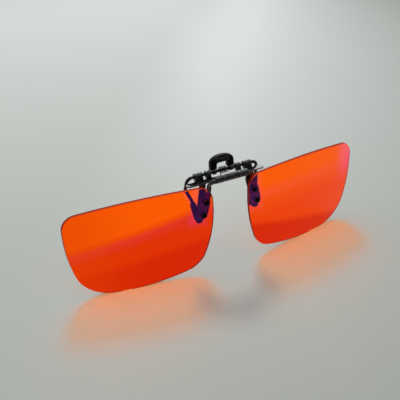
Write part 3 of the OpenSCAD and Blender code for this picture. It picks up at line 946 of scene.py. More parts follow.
@dataclass
class Lens:
    """A rimless lens: a rounded outline cut from a sphere, drilled twice near the nose.

    The bows are those of the upper, temple, lower and nasal edge. The set-backs say how far from the upper
    nasal, upper temple, lower temple and lower nasal corner the rounding starts.
    """

    width: float = 60.0
    height: float = 36.0
    nose_gap: float = 18.1
    top_z: float = 14.5
    thickness: float = 1.45
    curve_r: float = 244.0
    front_y: float = -5.2
    mid_z: float = -3.5
    temple_drop: float = 2.4
    temple_taper: float = 6.4
    nasal_taper: float = 5.5
    lower_temple_drop: float = 3.5
    bows: tuple[float, float, float, float] = (2.1, 2.6, 2.6, 2.8)
    set_backs: tuple[float, float, float, float] = (5.1, 5.3, 9.8, 5.4)
    corner_pull: float = 0.707
    rim_round: float = 0.16
    hole_r: float = 0.96
    rings: int = 9
    last_ring: float = 0.97
    edge_steps: int = 22
    corner_steps: int = 12

    def outline(self) -> list[Vector]:
        """The right lens's outline in X and Z: four bowed edges with a round corner between each two.

        Returns:
            The points, clockwise from the upper nasal corner.
        """
        left, right, low = self.nose_gap / 2, self.nose_gap / 2 + self.width, self.top_z - self.height
        corners = [Vector(p) for p in ((left, self.top_z), (right, self.top_z - self.temple_drop),
                                       (right - self.temple_taper, low - self.lower_temple_drop),
                                       (left + self.nasal_taper, low))]
        runs = []
        for i, a in enumerate(corners):
            b = corners[(i + 1) % 4]
            length = (b - a).length
            out = Vector((a.y - b.y, b.x - a.x)) / length
            t0, t1 = self.set_backs[i] / length, 1 - self.set_backs[(i + 1) % 4] / length
            ts = [t0 + (t1 - t0) * k / self.edge_steps for k in range(self.edge_steps + 1)]
            runs.append([a.lerp(b, t) + out * 4 * self.bows[i] * t * (1 - t) for t in ts])
        points = []
        for i, e in enumerate(runs):
            f = runs[(i + 1) % 4]
            p, q, u, v = e[-1], f[0], e[-1] - e[-2], f[1] - f[0]
            tip = p + u * ((q.x - p.x) * v.y - (q.y - p.y) * v.x) / (u.x * v.y - u.y * v.x)
            points += e
            for t in (k / (self.corner_steps + 1) for k in range(1, self.corner_steps + 1)):
                a, b, c = (1 - t) ** 2, 2 * self.corner_pull * t * (1 - t), t * t
                points.append((a * p + b * tip + c * q) / (a + b + c))
        return points

    def surface(self, x: float, z: float, depth: float) -> Vector:
        """The lens surface at a place, depth behind the front one."""
        r = self.curve_r - depth
        return Vector((x, self.front_y + self.curve_r - math.sqrt(r * r - x * x - (z - self.mid_z) ** 2), z))

    def shell(self) -> Shell:
        """The right lens before its holes, with rounded rims.

        Returns:
            The closed shell.
        """
        flat = self.outline()
        n = len(flat)
        runs = [(flat[(i + 1) % n] - flat[i - 1]).normalized() for i in range(n)]
        middle = sum(flat, Vector((0, 0))) / n

        def ring(inset: float, depth: float, scale: float = 1.0) -> list[Vector]:
            """A ring drawn in from the outline and scaled towards the middle."""
            drawn = (p + Vector((run.y, -run.x)) * inset for p, run in zip(flat, runs))
            return [self.surface(*(middle + (p - middle) * scale), depth) for p in drawn]

        r, back = self.rim_round, self.thickness
        scales = [k / self.rings for k in range(1, self.rings)] + [self.last_ring]
        rings = [ring(r, 0.0, s) for s in scales]
        rings += [ring(inset, depth) for inset, depth in rounded_edge(0.0, back, r, 4)]
        rings += [ring(r, back, s) for s in reversed(scales)]
        made = loft(rings, caps=False)
        for base, depth, way in ((0, 0.0, -1), ((len(rings) - 1) * n, back, 1)):
            tip = len(made.points)
            made.points.append(self.surface(*middle, depth))
            made.faces += [(tip, *(base + k, base + (k + 1) % n)[::way]) for k in range(n)]
        return made

    def spot(self, x: float, z: float) -> Matrix:
        """The frame of the lens surface at (x, z): its Y points in through the lens."""
        turn, tip = math.asin(x / self.curve_r), math.asin((z - self.mid_z) / self.curve_r)
        return (Matrix.Translation((0, self.front_y + self.curve_r, self.mid_z)) @ Matrix.Rotation(turn, 4, "Z")
                @ Matrix.Rotation(-tip, 4, "X") @ Matrix.Translation((0, -self.curve_r, 0)))


@dataclass
class LensMount:
    """Where a lens is screwed to its bracket, and the small parts of the joint."""

    lens: Lens
    top_x: float = 11.5
    top_z: float = 8.0
    step_x: float = 1.3
    step_z: float = 5.5
    shank_r: float = 0.6
    head_r: float = 1.15
    head_h: float = 0.6
    dome_h: float = 0.27
    dome_turn: float = math.degrees(1.25)
    washer_t: float = 0.2
    bore_r: float = 0.63
    bush_wall: float = 0.3
    flange_w: float = 0.6
    flange_t: float = 0.25
    seat: float = 0.02
    lens_seat: float = 0.06
    plate_t: float = 0.6
    slot_w: float = 0.3
    slot_depth: float = 0.25
    tip_out: float = 0.14

    @property
    def at_screws(self) -> Matrix:
        """The frame of the lens surface between the two screws."""
        return self.lens.spot(self.top_x + self.step_x / 2, self.top_z - self.step_z / 2)

    @property
    def flange_y(self) -> float:
        """Where the bush's flange starts behind the front of the lens."""
        return self.lens.thickness + self.lens_seat

    @property
    def plate_y(self) -> float:
        """Where the bracket's paddle starts behind the front of the lens."""
        return self.flange_y + self.flange_t + self.seat

    def axis(self, k: int) -> Vector:
        """The axis of the upper screw (0) or the lower one (1), in the mount's frame."""
        return Vector(((k - 0.5) * self.step_x, 0, (0.5 - k) * self.step_z))

    def step(self, side: Side) -> Vector:
        """From the upper screw to the lower one, in the shared frame."""
        x, y, z = self.at_screws.to_3x3() @ (self.axis(1) - self.axis(0))
        return Vector((x * side.value, y, z))

    def turned(self, profile: Pairs, k: int = 0, around: bool = False, steps: int = 40) -> Shell:
        """A turned part on a screw's axis, its distances counted in from the front of the lens."""
        return lathe(profile, self.axis(k), Y_AXIS, steps, around).placed(self.at_screws)

    def screw(self) -> Shell:
        """The upper screw: a domed head, its shank and its round tip.

        Returns:
            The screw for the right side.
        """
        under, end = -self.washer_t, self.plate_y + self.plate_t + self.tip_out
        top, rise = under - self.head_h, self.dome_h / (1 - math.cos(math.radians(self.dome_turn)))
        dome = arc(0, top + rise, self.head_r, -rise, [90 - self.dome_turn * k / 8 for k in range(1, 9)])
        rim = [(self.head_r, under - 0.22), (self.head_r, under - 0.06), (self.head_r - 0.06, under)]
        shank = [(self.shank_r, under), (self.shank_r, end - 0.12), (self.shank_r - 0.12, end), (0.02, end)]
        return self.turned([(0.02, top), *dome, *rim, *shank])

    def slot_tool(self) -> Shell:
        """The block that cuts the driver's slot.

        Returns:
            The block for the right side.
        """
        x, z = self.head_r * 1.4, self.slot_w / 2
        top = -self.washer_t - self.head_h
        return loft([[self.axis(0) + Vector((a, y, b)) for a, b in ((-x, -z), (x, -z), (x, z), (-x, z))]
                     for y in (top - 0.5, top + self.slot_depth)]).placed(self.at_screws)

    def washer(self) -> Pairs:
        """The profile of the washer under the screw's head."""
        return ring_profile(self.bore_r, self.head_r + 0.1, 0.02 - self.washer_t, -0.02, 0.05)

    def bush(self) -> Pairs:
        """The profile of the flanged bush in the lens.

        Returns:
            The closed profile as (radius, distance) pairs.
        """
        bore, wall, y0 = self.bore_r, self.bore_r + self.bush_wall, self.flange_y
        rim, y1 = wall + self.flange_w, y0 + self.flange_t
        return [(bore, 0.08), (wall - 0.04, 0.05), (wall, 0.1), (wall, y0), (rim - 0.05, y0), (rim, y0 + 0.05),
                (rim, y1 - 0.05), (rim - 0.05, y1), (bore, y1)]


@dataclass
class LensPair:
    """The two lenses with their screws, washers and bushes."""

    bench: Bench
    mount: LensMount
    drilled: Pair = (-1.5, 4.0)
    edge_tilt: float = 0.8

    def glass(self, side: Side) -> None:
        """Builds a lens, drills it and gives its rim and its holes their own finish.

        Args:
            side: which lens.
        """
        hole = [(self.mount.lens.hole_r, depth) for depth in self.drilled]
        piece = solid(f"{side.word}_amber_lens", self.mount.lens.shell().mirrored(side), GLASS_SHARP)
        for k in (0, 1):
            piece = cut(piece, solid("drill", self.mount.turned(hole, k, steps=48).mirrored(side)))
        smooth(piece.data, GLASS_SHARP)
        piece = self.bench.hang(evened(piece), "lens_pair", f"{side.word}_lens", Slot.LENS)
        piece.data.materials.append(self.bench.finishes.lens_edge)
        for face in piece.data.polygons:
            face.material_index = int(abs(face.normal.y) < self.edge_tilt)

    def on_both(self, side: Side, upper: Piece, node: str, slot: Slot) -> None:
        """Sets a part that sits on the upper screw on the lower one too, and hangs the pair.

        Args:
            side: which side.
            upper: the upper part.
            node: the CAD node's name without its side.
            slot: the record's slot.
        """
        pair = self.bench.row.repeat(upper, 2, self.mount.step(side), self.bench.dress(slot))
        smooth(pair.data, SMALL_SHARP)
        self.bench.hang(pair, "lens_pair", f"{side.word}_{node}", slot)

    def build(self, side: Side) -> None:
        """Builds one lens and what fastens it.

        Args:
            side: which lens.
        """
        mount = self.mount
        self.glass(side)
        screw = solid(f"{side.word}_slotted_screws", mount.screw().mirrored(side), SMALL_SHARP)
        screw = cut(screw, solid("slot_tool", mount.slot_tool().mirrored(side)))
        self.on_both(side, screw, "lens_screws", Slot.SCREW)
        for name, node, profile in (("nylon_washers", "screw_washers", mount.washer()),
                                    ("lens_bush_pair", "lens_bushes", mount.bush())):
            ring = solid(f"{side.word}_{name}", mount.turned(profile, around=True).mirrored(side), SMALL_SHARP)
            self.on_both(side, ring, node, Slot.NYLON)


@dataclass
class FlipHinge:
    """The hinge between the clip and the lenses: pin, washers, outer knuckles and brackets.

    The arm's marks are (X, Y, Z, half width) from the knuckle's end on the hinge's axis, and the neck's are
    (X, Z, distance behind the paddle's plane, half width).
    """

    bench: Bench
    mount: LensMount
    y: float = -4.85
    z: float = 17.4
    knuckle_r: float = 1.5
    knuckle_rim: float = 0.2
    pin_r: float = 0.55
    pin_end: float = 0.28
    middle_half: float = 3.5
    outer_x: float = 3.85
    end_x: float = 7.5
    washer_t: float = 0.25
    run_gap: float = 0.05
    arm: tuple[tuple[float, float, float, float], ...] = (
        (-1.4, 0.02, -0.42, 0.98), (0.2, 0.08, -0.44, 0.98), (1.15, 0.30, -0.80, 1.0), (1.72, 0.95, -1.75, 1.05),
        (1.80, 1.95, -2.90, 1.05), (1.62, 2.38, -4.30, 1.05))
    neck: tuple[tuple[float, float, float, float], ...] = (
        (9.55, 11.6, 0.05, 1.15), (10.30, 10.2, 0.0, 1.65), (11.25, 8.8, 0.0, 2.30))
    top_r: float = 2.5
    low_r: float = 2.3
    rim: float = 0.16

    def axis_at(self, x: float) -> Vector:
        """A point on the hinge's axis."""
        return Vector((x, self.y, self.z))

    def stations(self) -> Line:
        """The arm's middle line, from inside the knuckle to the paddle's last full width, and its round tip.

        Returns:
            The points, each with its half width.
        """
        mount = self.mount
        behind = mount.plate_y + mount.plate_t / 2

        def on_plate(x: float, z: float, back: float = 0.0) -> Vector:
            """A place on the paddle's middle plane."""
            p = mount.at_screws.inverted() @ mount.lens.surface(x, z, 0)
            return mount.at_screws @ Vector((p.x, behind + back, p.z))

        upper = Vector((mount.top_x, mount.top_z))
        lower = upper + Vector((mount.step_x, -mount.step_z))
        down = (lower - upper).normalized()
        line = [(self.axis_at(self.end_x) + Vector(p), half) for *p, half in self.arm]
        line += [(on_plate(x, z, back), half) for x, z, back, half in self.neck]
        line += [(on_plate(*(upper + down * 0.3)), self.top_r),
                 (on_plate(*(upper + down * 3.0)), (self.top_r + self.low_r) / 2 + 0.02),
                 (on_plate(*lower), self.low_r)]
        return line + [(on_plate(*(lower + down * d)), half)
                       for half, d in arc(0, 0, self.low_r, self.low_r, ROUND_TIP)]

    def bracket(self) -> Shell:
        """The right bracket: its rolled knuckle, its arm and its paddle, as one bent sheet.

        Returns:
            The bracket.
        """
        marks = [Vector((*p, half)) for p, half in self.stations()]
        tip = len(marks) - len(ROUND_TIP)
        run = smooth_run(marks[:tip], 6) + marks[tip:]

        def sides(along: Vector) -> tuple[Vector, Vector]:
            """The directions across and through the sheet, which faces forwards."""
            flat = square_to(along, -Y_AXIS)
            return along.cross(flat), flat

        arm = sheet_strip([(Vector(v[:3]), v[3]) for v in run], self.mount.plate_t / 2, self.rim, sides)
        return arm.join(barrel(self.pin_r + 0.02, self.knuckle_r, self.outer_x, self.end_x, self.knuckle_rim,
                               self.axis_at(0)))

    def build(self) -> None:
        """Builds both brackets, the pin and the two friction washers."""
        for side in Side:
            piece = evened(solid(f"{side.word}_bracket_sheet", self.bracket().mirrored(side), SHEET_SHARP))
            self.bench.hang(piece, "lens_pair", f"{side.word}_lens_bracket", Slot.SHEET)
        r, half = self.pin_r, self.middle_half
        dome = arc(0, self.end_x, r, self.pin_end, (0, 20, 40, 60, 78, 88))
        profile = [(q, -d) for q, d in reversed(dome)] + [(r, -half), (r, half)] + dome
        pin = solid("hinge_pin_rod", lathe(profile, self.axis_at(0), steps=40), ROUND_SHARP)
        self.bench.hang(pin, "lens_pair", "flip_hinge_pin", Slot.STEEL)
        x = half + self.run_gap
        ring = barrel(r + 0.05, self.knuckle_r - 0.1, -x - self.washer_t, -x, 0.06, self.axis_at(0))
        washer, step = solid("friction_washer_pair", ring, SMALL_SHARP), Vector((2 * x + self.washer_t, 0, 0))
        washers = self.bench.row.repeat(washer, 2, step, self.bench.dress(Slot.STEEL))
        self.bench.hang(washers, "clip", "flip_hinge_washers", Slot.STEEL)


# ---- the clip


def sideways(a: float, b: float, d: float) -> Vector:
    """A place for a slab whose outline is in Y and Z and whose thickness is along X."""
    return Vector((d, a, b))


@dataclass
class ClipBody:
    """The stamped body of the clip: bar, legs and knuckles, with the rubber sleeves on the legs.

    A right rear knuckle is (where it starts in X, its width). A mark of the leg's bend is (behind the leg,
    below the bar's middle plane), and one of its shoulder is (above the sleeve, narrower on each side).
    """

    bench: Bench
    hinge: FlipHinge
    sheet_t: float = 0.6
    bar_w: float = 36.4
    bar_depth: float = 2.8
    bar_top: float = 15.45
    bar_back: float = 1.35
    leg_top_x: float = 11.3
    leg_tip_x: float = 13.4
    leg_w: float = 1.9
    shoulder_w: float = 2.9
    leg_tip_z: float = -1.9
    leg_front: float = -1.25
    leg_start: float = 0.3
    leg_bend: tuple[Pair, ...] = ((1.3, 0.0), (0.62, 0.0), (0.18, 0.18))
    shoulder: tuple[Pair, ...] = ((0.35, 0.0), (0.12, 0.08), (0.03, 0.3))
    knuckles: tuple[Pair, ...] = ((5.9, 2.3), (9.7, 3.7))
    rear_y: float = 2.55
    rear_z: float = 17.1
    rear_bore: float = 0.75
    rear_r: float = 1.35
    rear_rim: float = 0.16
    sleeve_wall: float = 0.6
    sleeve_len: float = 13.5
    sleeve_round: float = 0.85
    rim: float = 0.14
    tongue_rim: float = 0.12
    tongue_narrower: float = 0.6
    sunk: float = 0.02

    @property
    def bar_z(self) -> float:
        """The underside of the bar."""
        return self.bar_top - self.sheet_t

    @property
    def leg_mid(self) -> float:
        """The Y of the legs' middle plane."""
        return self.leg_front + self.sheet_t / 2

    def bar(self) -> Shell:
        """The bar with its round ends.

        Returns:
            The bar.
        """
        r, mid, turns = self.bar_depth / 2, self.bar_back - self.bar_depth / 2, range(-90, 91, 10)
        reach = self.bar_w / 2 - r
        return slab(arc(reach, mid, r, r, turns) + arc(-reach, mid, -r, -r, turns),
                    lambda x, y, d: Vector((x, y, d)), self.bar_z, self.bar_top, self.rim)

    def leg(self) -> Shell:
        """The right leg: it leaves the bar, bends down and ends in a round tip.

        Returns:
            The leg.
        """
        mid, half, wide, half_t = self.leg_mid, self.leg_w / 2, self.shoulder_w / 2, self.sheet_t / 2
        top = Vector((self.leg_top_x, mid, self.bar_z - self.leg_start))
        tip = Vector((self.leg_tip_x, mid, self.leg_tip_z + half))
        down = (tip - top).normalized()
        long = (tip - top).length - self.sleeve_len
        line = [(Vector((self.leg_top_x, mid + back, self.bar_top - half_t - drop)), wide)
                for back, drop in self.leg_bend]
        line += [(top, wide)] + [(top + down * (long - above), wide - less)
                                 for above, less in (*self.shoulder, (0.0, wide - half))]
        line += [(top.lerp(tip, 0.5), half), (tip, half)]
        line += [(tip + down * d, narrow) for narrow, d in arc(0, 0, half, half, ROUND_TIP)]

        def sides(along: Vector) -> tuple[Vector, Vector]:
            """The directions across and through the sheet, which lies along X."""
            across = square_to(along, X_AXIS)
            return across, across.cross(along)

        return sheet_strip(line, half_t, self.rim, sides)

    def rear_knuckles(self) -> Shell:
        """The two right rear knuckles, each rolled from its tongue at the back of the bar.

        Returns:
            Both knuckles.
        """
        y, z, r, low, back = self.rear_y, self.rear_z, self.rear_r, self.bar_z + self.sunk, self.bar_back
        outline = [(back - 0.8, self.bar_top - self.sunk), (back - 0.8, low), (back + 0.55, low),
                   (y + r * 0.62, z - r * 0.72), (y + r * 0.1, z - r * 0.86), (y - r * 0.92, z - r * 0.1)]
        both = Shell()
        for x, width in self.knuckles:
            both.join(barrel(self.rear_bore, r, x, x + width, self.rear_rim, Vector((0, y, z))))
            both.join(slab(outline, sideways, x + self.sunk, x + width - self.sunk, self.tongue_rim))
        return both

    def middle_knuckle(self) -> Shell:
        """The middle knuckle of the flip hinge and its tongue in front of the bar.

        Returns:
            The knuckle.
        """
        h, r, half, low = self.hinge, self.hinge.knuckle_r, self.hinge.middle_half, self.bar_z + self.sunk
        front, top = self.bar_back - self.bar_depth, self.bar_top - self.sunk
        reach = half - self.tongue_narrower
        outline = [(front + 0.8, top), (front - 0.2, top), (h.y + r * 0.8, h.z - r * 0.3),
                   (h.y + r * 0.2, h.z - r * 0.88), (front - 0.6, low), (front + 0.8, low)]
        return barrel(h.pin_r + h.run_gap, r, -half, half, h.knuckle_rim, h.axis_at(0)).join(
            slab(outline, sideways, -reach, reach, self.tongue_rim))

    def sleeve(self) -> Shell:
        """The right rubber sleeve: flat in front and behind, round at its sides and its closed end.

        Returns:
            The sleeve.
        """
        thick, long = self.sheet_t / 2 + self.sleeve_wall, self.sleeve_len
        core = self.leg_w / 2 + self.sleeve_wall - self.sleeve_round
        half = core + thick
        top = Vector((self.leg_top_x, self.leg_mid, self.bar_z))
        tip = Vector((self.leg_tip_x, self.leg_mid, self.leg_tip_z + self.leg_w / 2))
        up = (top - tip).normalized()
        across = Vector((up.z, 0, -up.x))
        line = [(long - below, half - narrower, thick - thinner) for below, narrower, thinner in
                ((0, 0.30, 0.30), (0.05, 0.12, 0.14), (0.18, 0.02, 0.03), (0.35, 0, 0))]
        line += [(long * share, half, thick) for share in (0.66, 0.33, 0)]
        for a in map(math.radians, (15, 30, 45, 58, 68, 76, 82, 87)):
            past = max(0.0, (half * math.sin(a) - core) / thick)
            line.append((-half * math.sin(a), core * math.cos(a) + thick * math.cos(a) ** 0.8,
                         thick * max(0.12, math.sqrt(max(0.0, 1 - past ** 2)))))
        return loft([[tip + up * d + across * a + Y_AXIS * b
                      for a, b in rounded_section(max(w, 0.06), max(t, 0.05), half, 6)] for d, w, t in line])

    def build(self) -> None:
        """Builds the body and its two sleeves."""
        whole = self.bar().join(self.middle_knuckle())
        for side in Side:
            whole.join(self.leg().mirrored(side)).join(self.rear_knuckles().mirrored(side))
        body = evened(solid("stamped_clip_body", whole, SHEET_SHARP))
        self.bench.hang(body, "clip", "clip_body", Slot.SHEET)
        for side in Side:
            pad = solid(f"front_{side.word}_sleeve", self.sleeve().mirrored(side), ROUND_SHARP)
            self.bench.hang(pad, "clip", f"front_{side.word}_pad", Slot.RUBBER)


@dataclass
class RearJaw:
    """The bent wire with its sleeves, the thumb lever on it and the spring round it.

    The spring's rest holds the last two corners of its leg on the grip, as (outwards, up).
    """

    bench: Bench
    clip: ClipBody
    wire_r: float = 0.70
    span: float = 16.9
    bends: tuple[float, float, float] = (2.6, 2.0, 2.5)
    pad_y: float = 1.6
    pad_r: float = 1.35
    pad_start: float = 0.6
    tip_z: float = -1.6
    lever_h: float = 6.7
    lever_w: float = 11.0
    lever_top_r: float = 9.5
    lever_corner_r: float = 2.6
    lever_lean: float = 3.0
    lever_back: float = 0.85
    lever_foot: float = 0.9
    lever_t: float = 0.7
    lever_inset: float = 0.7
    lever_rim: float = 0.08
    crimp_w: float = 1.6
    crimp_wall: float = 0.5
    crimp_rim: float = 0.14
    window_w: float = 5.0
    window_h: float = 3.4
    window_round: float = 0.7
    grip_t: float = 2.1
    grip_rim: float = 0.34
    ribs: int = 3
    rib_r: float = 0.28
    rib_up: float = 0.6
    rib_margin: float = 2.2
    rib_step: float = 0.75
    spring_wire: float = 0.4
    spring_turns: int = 4
    spring_half: float = 1.85
    spring_mid: float = 0.25
    spring_rest: tuple[Pair, Pair] = ((0.0, 2.2), (1.2, 3.1))
    spring_gap: float = 0.2
    spring_bend: float = 0.35
    coil_steps: int = 28
    arch_steps: int = 16

    @property
    def axis(self) -> Vector:
        """The jaw's axis, on the mirror plane."""
        return Vector((0, self.clip.rear_y, self.clip.rear_z))

    @property
    def upright(self) -> Matrix:
        """The frame of the lever: X, its thickness along Y, and Z up its height."""
        return Matrix.Translation(self.axis) @ Matrix.Rotation(math.radians(-self.lever_lean), 4, "X")

    def corners(self) -> list[Vector]:
        """The wire's corners from the mirror plane to its right tip.

        Returns:
            The corners.
        """
        y, z, s = self.clip.rear_y, self.clip.rear_z, self.span
        return [self.axis, Vector((s - 0.5, y, z)), Vector((s, y + 1.25, z - 5.7)),
                Vector((s - 1.6, self.pad_y + 0.05, z - 9.8)), Vector((s - 3.8, self.pad_y, self.tip_z))]

    def wire(self) -> None:
        """Sweeps the wire from its left tip to its right one."""
        half = bent_path(self.corners(), self.bends)
        path = [Vector((-p.x, p.y, p.z)) for p in reversed(half[1:])] + half[1:]
        piece = self.bench.wire.sweep("bent_jaw_wire", path, self.wire_r, self.bench.dress(Slot.WIRE), 24)
        self.bench.hang(piece, "clamp", "rear_jaw_wire", Slot.WIRE)

    def pad(self, side: Side) -> None:
        """Turns one tapered rubber sleeve with a round end.

        Args:
            side: which sleeve.
        """
        before, bend, tip = self.corners()[2:]
        run = (tip - bend).normalized()
        turn = (bend - before).normalized().angle(run)
        start = bend + run * (self.bends[2] * math.tan(turn / 2) + self.pad_start)
        length, r = (tip - start).length, self.pad_r
        lip = [(self.wire_r + 0.02, 0.02), (r - 0.42, 0.0), (r - 0.30, 0.05), (r - 0.25, 0.16), (r - 0.2, 0.5),
               (r - 0.08, 1.1), (r, 1.7), (r, length * 0.6), (r, length)]
        dome = arc(0, length, r, r, (15, 30, 45, 60, 75, 85))
        shell = lathe([*lip, *dome, (0.03, length + r)], start, run, 36)
        piece = solid(f"rear_{side.word}_sleeve", shell.mirrored(side), ROUND_SHARP)
        self.bench.hang(piece, "clamp", f"rear_{side.word}_pad", Slot.RUBBER)

    def arch(self, inset: float, foot: float, half_t: float, edge: float, edge_steps: int) -> Shell:
        """A plate of the lever's outline: a bowed top between two round corners, over the window.

        Args:
            inset: how far it is drawn in on every side.
            foot: the height of its two feet.
            half_t: half its thickness.
            edge: radius of its edges.
            edge_steps: steps in each rounded edge.

        Returns:
            The plate, in the shared frame.
        """
        half, top_r, corner_r = self.lever_w / 2 - inset, self.lever_top_r - inset, self.lever_corner_r - inset
        low, side_x, steps = self.lever_h - self.lever_top_r, half - corner_r, self.arch_steps
        rise = low + math.sqrt((top_r - corner_r) ** 2 - side_x ** 2)
        lean = math.degrees(math.acos(side_x / (top_r - corner_r)))
        right = arc(side_x, rise, corner_r, corner_r, [lean * k / steps for k in range(steps)])
        top = arc(0, low, top_r, top_r, [lean + (180 - 2 * lean) * k / steps for k in range(steps + 1)])
        wx, wz, c = self.window_w / 2 + inset, self.window_h + inset, self.window_round
        inside = [(-wx, foot)] + arc(c - wx, wz - c, -c, c, quarter(4))
        outline = [(half, foot), *right, *top, *[(-x, y) for x, y in reversed(right)], (-half, foot), *inside,
                   *[(-x, y) for x, y in reversed(inside)]]
        place = self.upright
        return slab(outline, lambda x, z, d: place @ Vector((x, self.lever_back + d, z)), -half_t, half_t, edge,
                    edge_steps)

    def plate(self) -> None:
        """Builds the metal lever: its arch and the two crimps that hold the wire."""
        plate = self.arch(self.lever_inset, 0.0, self.lever_t / 2, self.lever_rim, 3)
        inner = self.window_w / 2 + self.lever_inset
        crimp = barrel(self.wire_r + 0.02, self.wire_r + self.crimp_wall, inner, inner + self.crimp_w,
                       self.crimp_rim, self.axis)
        for side in Side:
            plate.join(crimp.mirrored(side))
        self.bench.hang(solid("stamped_thumb_lever", plate, SHEET_SHARP), "clamp", "thumb_lever", Slot.SHEET)

    def grip(self) -> None:
        """Builds the moulded grip over the lever, and the ribs on both of its faces."""
        half, r, reach = self.grip_t / 2, self.rib_r, self.lever_w / 2 - self.rib_margin
        body = solid("moulded_thumb_grip", self.arch(0.0, self.lever_foot, half, self.grip_rim, 5), SHEET_SHARP)
        self.bench.hang(evened(body), "clamp", "thumb_grip", Slot.PLASTIC)
        profile = arc(0, r - reach, r, -r, (85, 60, 30, 0)) + arc(0, reach - r, r, r, (0, 30, 60, 85))
        step = self.upright.to_3x3() @ Vector((0, 0, self.rib_step))
        for name, face in (("front_grip_ribs", -1), ("back_grip_ribs", 1)):
            out = self.lever_back + face * (half - 0.02)
            low = self.upright @ Vector((0, out, self.window_h + self.rib_up))
            rib = solid(name, lathe(profile, low, steps=20), ROUND_SHARP)
            ribs = self.bench.row.repeat(rib, self.ribs, step, self.bench.finishes.polished)
            self.bench.hang(ribs, "clamp", "thumb_grip", Slot.PLASTIC, self.bench.finishes.polished)

    def spring(self) -> None:
        """Sweeps the torsion spring: a leg on the bar, the coil and a leg on the grip's front."""
        r, n = self.wire_r + self.spring_gap + self.spring_wire, self.spring_turns * self.coil_steps
        ends = [self.axis + X_AXIS * (self.spring_mid + s * self.spring_half) for s in (-1, 1)]
        coil = [ends[0].lerp(ends[1], k / n) + Vector((0, -r * math.cos(a), r * math.sin(a)))
                for k, a in ((k, math.tau * k / self.coil_steps) for k in range(n + 1))]
        front = self.lever_back - (self.grip_t + self.spring_wire) / 2 - 0.02
        rest = [self.upright @ Vector((ends[1].x + out, front, up)) for out, up in self.spring_rest]
        foot = Vector((ends[0].x, coil[0].y, self.clip.bar_top + 0.05))
        leg = bent_path([coil[-1], coil[-1] + Vector((0, 0, self.lever_foot)), *rest], (self.spring_bend,) * 2, 12)
        piece = self.bench.wire.sweep("coiled_torsion_spring", [foot, *coil, *leg[1:]], self.spring_wire / 2,
                                      self.bench.dress(Slot.WIRE), 12)
        self.bench.hang(piece, "clamp", "torsion_spring", Slot.WIRE, across=("clip", *ends))

    def build(self) -> None:
        """Builds the whole rear jaw."""
        self.wire()
        for side in Side:
            self.pad(side)
        self.plate()
        self.grip()
        self.spring()


# ---- the studio


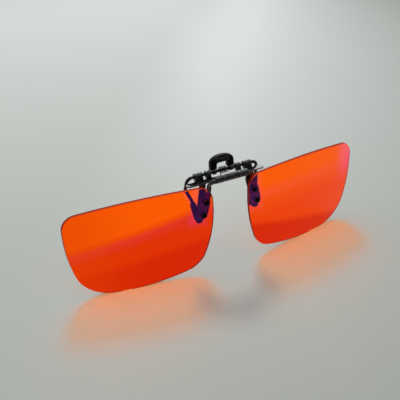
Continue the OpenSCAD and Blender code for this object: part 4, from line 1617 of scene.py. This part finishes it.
@dataclass
class Studio:
    """A pale floor with painted light and shade, soft lamps and the camera.

    The camera's places are in millimetres, the floor's and the lamps' in metres. A pair is where a tone starts
    to change and where it is full. A lamp is (name, place, size, watts, colour).
    """

    floor_z: float
    camera_at: Place = (-120.79, -213.36, 144.86)
    camera_to: Place = (-14.68, -5.05, 10.56)
    camera_roll: float = -0.0279
    lens_mm: float = 60.507
    sensor_mm: float = 36.0
    floor_half: float = 3.0
    # Painted light and shade on the floor: darker near, lighter far and in a slanting band, darker towards the
    # right.
    floor_near: Colour = (0.395, 0.42, 0.385)
    floor_far_painted_light: Colour = (0.80, 0.86, 0.86)
    floor_side_painted_shade: Colour = (0.29, 0.315, 0.285)
    grain_scale: float = 900.0
    grain_depth: float = 0.00002
    behind_near: Colour = (0.93, 0.93, 0.93)
    far_y: Pair = (-0.10, 0.45)
    band_slant: float = -0.75
    band: Pair = (-0.13, -0.02)
    band_share: Pair = (0.42, 1.05)
    side_slant: float = -0.35
    side: Pair = (0.03, 0.29)
    behind_y: Pair = (-0.02, 0.16)
    white: Colour = (1.0, 1.0, 1.0)
    fill: Colour = (0.96, 0.98, 1.0)
    fill_strength: float = 0.46
    backdrop: Colour = (0.86, 0.88, 0.88)
    room_dim: Colour = (0.07, 0.075, 0.08)
    bright_way: Place = (0.25, 0.75, 0.60)
    bright_from: Pair = (-0.45, 0.75)
    lamps: tuple[tuple[str, Place, float, float, Colour], ...] = (
        ("window", (0.20, 0.60, 0.84), 0.24, 5.2, (1.0, 0.98, 0.95)),
        ("overhead", (-0.15, 0.10, 0.80), 0.7, 1.4, (0.97, 0.98, 1.0)),
        ("low_gleam", (0.42, 0.80, 0.50), 0.34, 1.2, (0.95, 0.98, 1.0)))

    def floor(self) -> None:
        """Lays the floor, whose tone is painted light: it rises softly towards the back, most of all in a broad
        slanting band, and painted shade darkens it towards the right.
        """
        data, half = bpy.data.meshes.new("floor"), self.floor_half
        data.from_pydata([(x * half, y * half, self.floor_z) for x, y in ((-1, -1), (1, -1), (1, 1), (-1, 1))], [],
                         [(0, 1, 2, 3)])
        s = Shader(bpy.data.materials.new("pale_floor_painted_light"))
        x, y, _ = s.add("ShaderNodeSeparateXYZ", Vector=s.coords).outputs
        slant, beside = (s.math("MULTIPLY_ADD", y, lean, x) for lean in (self.band_slant, self.side_slant))
        rise = s.math("MULTIPLY", s.span(y, *self.far_y), s.eased(slant, *self.band, *self.band_share))
        tone = s.blend(rise, self.floor_near, self.floor_far_painted_light)
        tone = s.blend(s.span(beside, *self.side), tone, self.floor_side_painted_shade)
        matt = s.add("ShaderNodeBsdfPrincipled", Base_Color=tone, Roughness=0.7, Specular_IOR_Level=0.2,
                     Normal=s.bump(s.noise(self.grain_scale, 4.0), self.grain_depth, 0.3))
        behind_lens = s.blend(s.span(y, *self.behind_y), self.behind_near, self.white)
        glow = s.add("ShaderNodeEmission", Color=behind_lens, Strength=1.0)
        seen = s.either(s.add("ShaderNodeLightPath").outputs["Is Transmission Ray"], matt, glow)
        data.materials.append(s.close(seen))
        stand("floor", data)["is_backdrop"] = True

    def world(self) -> None:
        """Fills the room with soft light, and with a backdrop for what is seen, shone through or mirrored.

        Mirrored in the metal, the room is pale at the back and above, and dim in front.
        """
        s = Shader(bpy.data.worlds.new("room"))
        way = s.add("ShaderNodeTexCoord").outputs["Generated"]
        lean = s.math("DOT_PRODUCT", way, self.bright_way, kind="ShaderNodeVectorMath")
        mirrored = s.blend(s.eased(lean, *self.bright_from), self.room_dim, self.white)
        rays = s.add("ShaderNodeLightPath").outputs
        glossy = rays["Is Glossy Ray"]
        seen = s.add("ShaderNodeBackground", s.blend(glossy, self.backdrop, mirrored), 1.0)
        fill = s.add("ShaderNodeBackground", self.fill, self.fill_strength)
        shown = s.most(rays["Is Camera Ray"], rays["Is Transmission Ray"], glossy)
        bpy.context.scene.world = s.close(s.either(shown, fill, seen), "World")

    def lamp(self, name: str, at: Place, size: float, watts: float, colour: Colour) -> None:
        """Hangs one soft square lamp that faces the glasses. The gleam shows only in what is glossy.

        Args:
            name: its name.
            at: where it hangs, in metres.
            size: its side.
            watts: its power.
            colour: its colour.
        """
        data = bpy.data.lights.new(name, "AREA")
        data.size, data.energy, data.color = size, watts, colour
        piece = stand(name, data)
        piece.location = at
        piece.rotation_euler = (-Vector(at)).to_track_quat("-Z", "Y").to_euler()
        piece.visible_diffuse = name != "low_gleam"

    def camera(self) -> None:
        """Places the camera at the photograph's angle."""
        at, to = Vector(self.camera_at) * MM, Vector(self.camera_to) * MM
        ahead = (to - at).normalized()
        right = ahead.cross(Vector((0, 0, 1))).normalized()
        turn = Matrix.Rotation(-self.camera_roll, 3, ahead)
        axes = turn @ Matrix((right, right.cross(ahead), -ahead)).transposed()
        data = bpy.data.cameras.new("camera")
        data.lens, data.sensor_width = self.lens_mm, self.sensor_mm
        data.clip_start, data.clip_end = 0.01, 20.0
        piece = stand("camera", data)
        piece.matrix_world = Matrix.Translation(at) @ axes.to_4x4()
        bpy.context.scene.camera = piece

    def build(self) -> None:
        """Sets up the camera, the floor, the room and the lamps."""
        self.camera()
        self.floor()
        self.world()
        for lamp in self.lamps:
            self.lamp(*lamp)
        bpy.context.scene.view_settings.view_transform = "Standard"


def main() -> None:
    """Builds the studio and the glasses, and logs how many pieces were made."""
    logging.basicConfig(level=logging.INFO, format="%(name)s: %(message)s")
    low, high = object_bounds()
    Studio(low.z).build()
    bench, mount = Bench(), LensMount(Lens())
    pair = LensPair(bench, mount)
    for side in Side:
        pair.build(side)
    hinge = FlipHinge(bench, mount)
    hinge.build()
    clip = ClipBody(bench, hinge)
    clip.build()
    RearJaw(bench, clip).build()
    log.info("%d pieces made", bench.made)


if __name__ == "__main__":
    main()
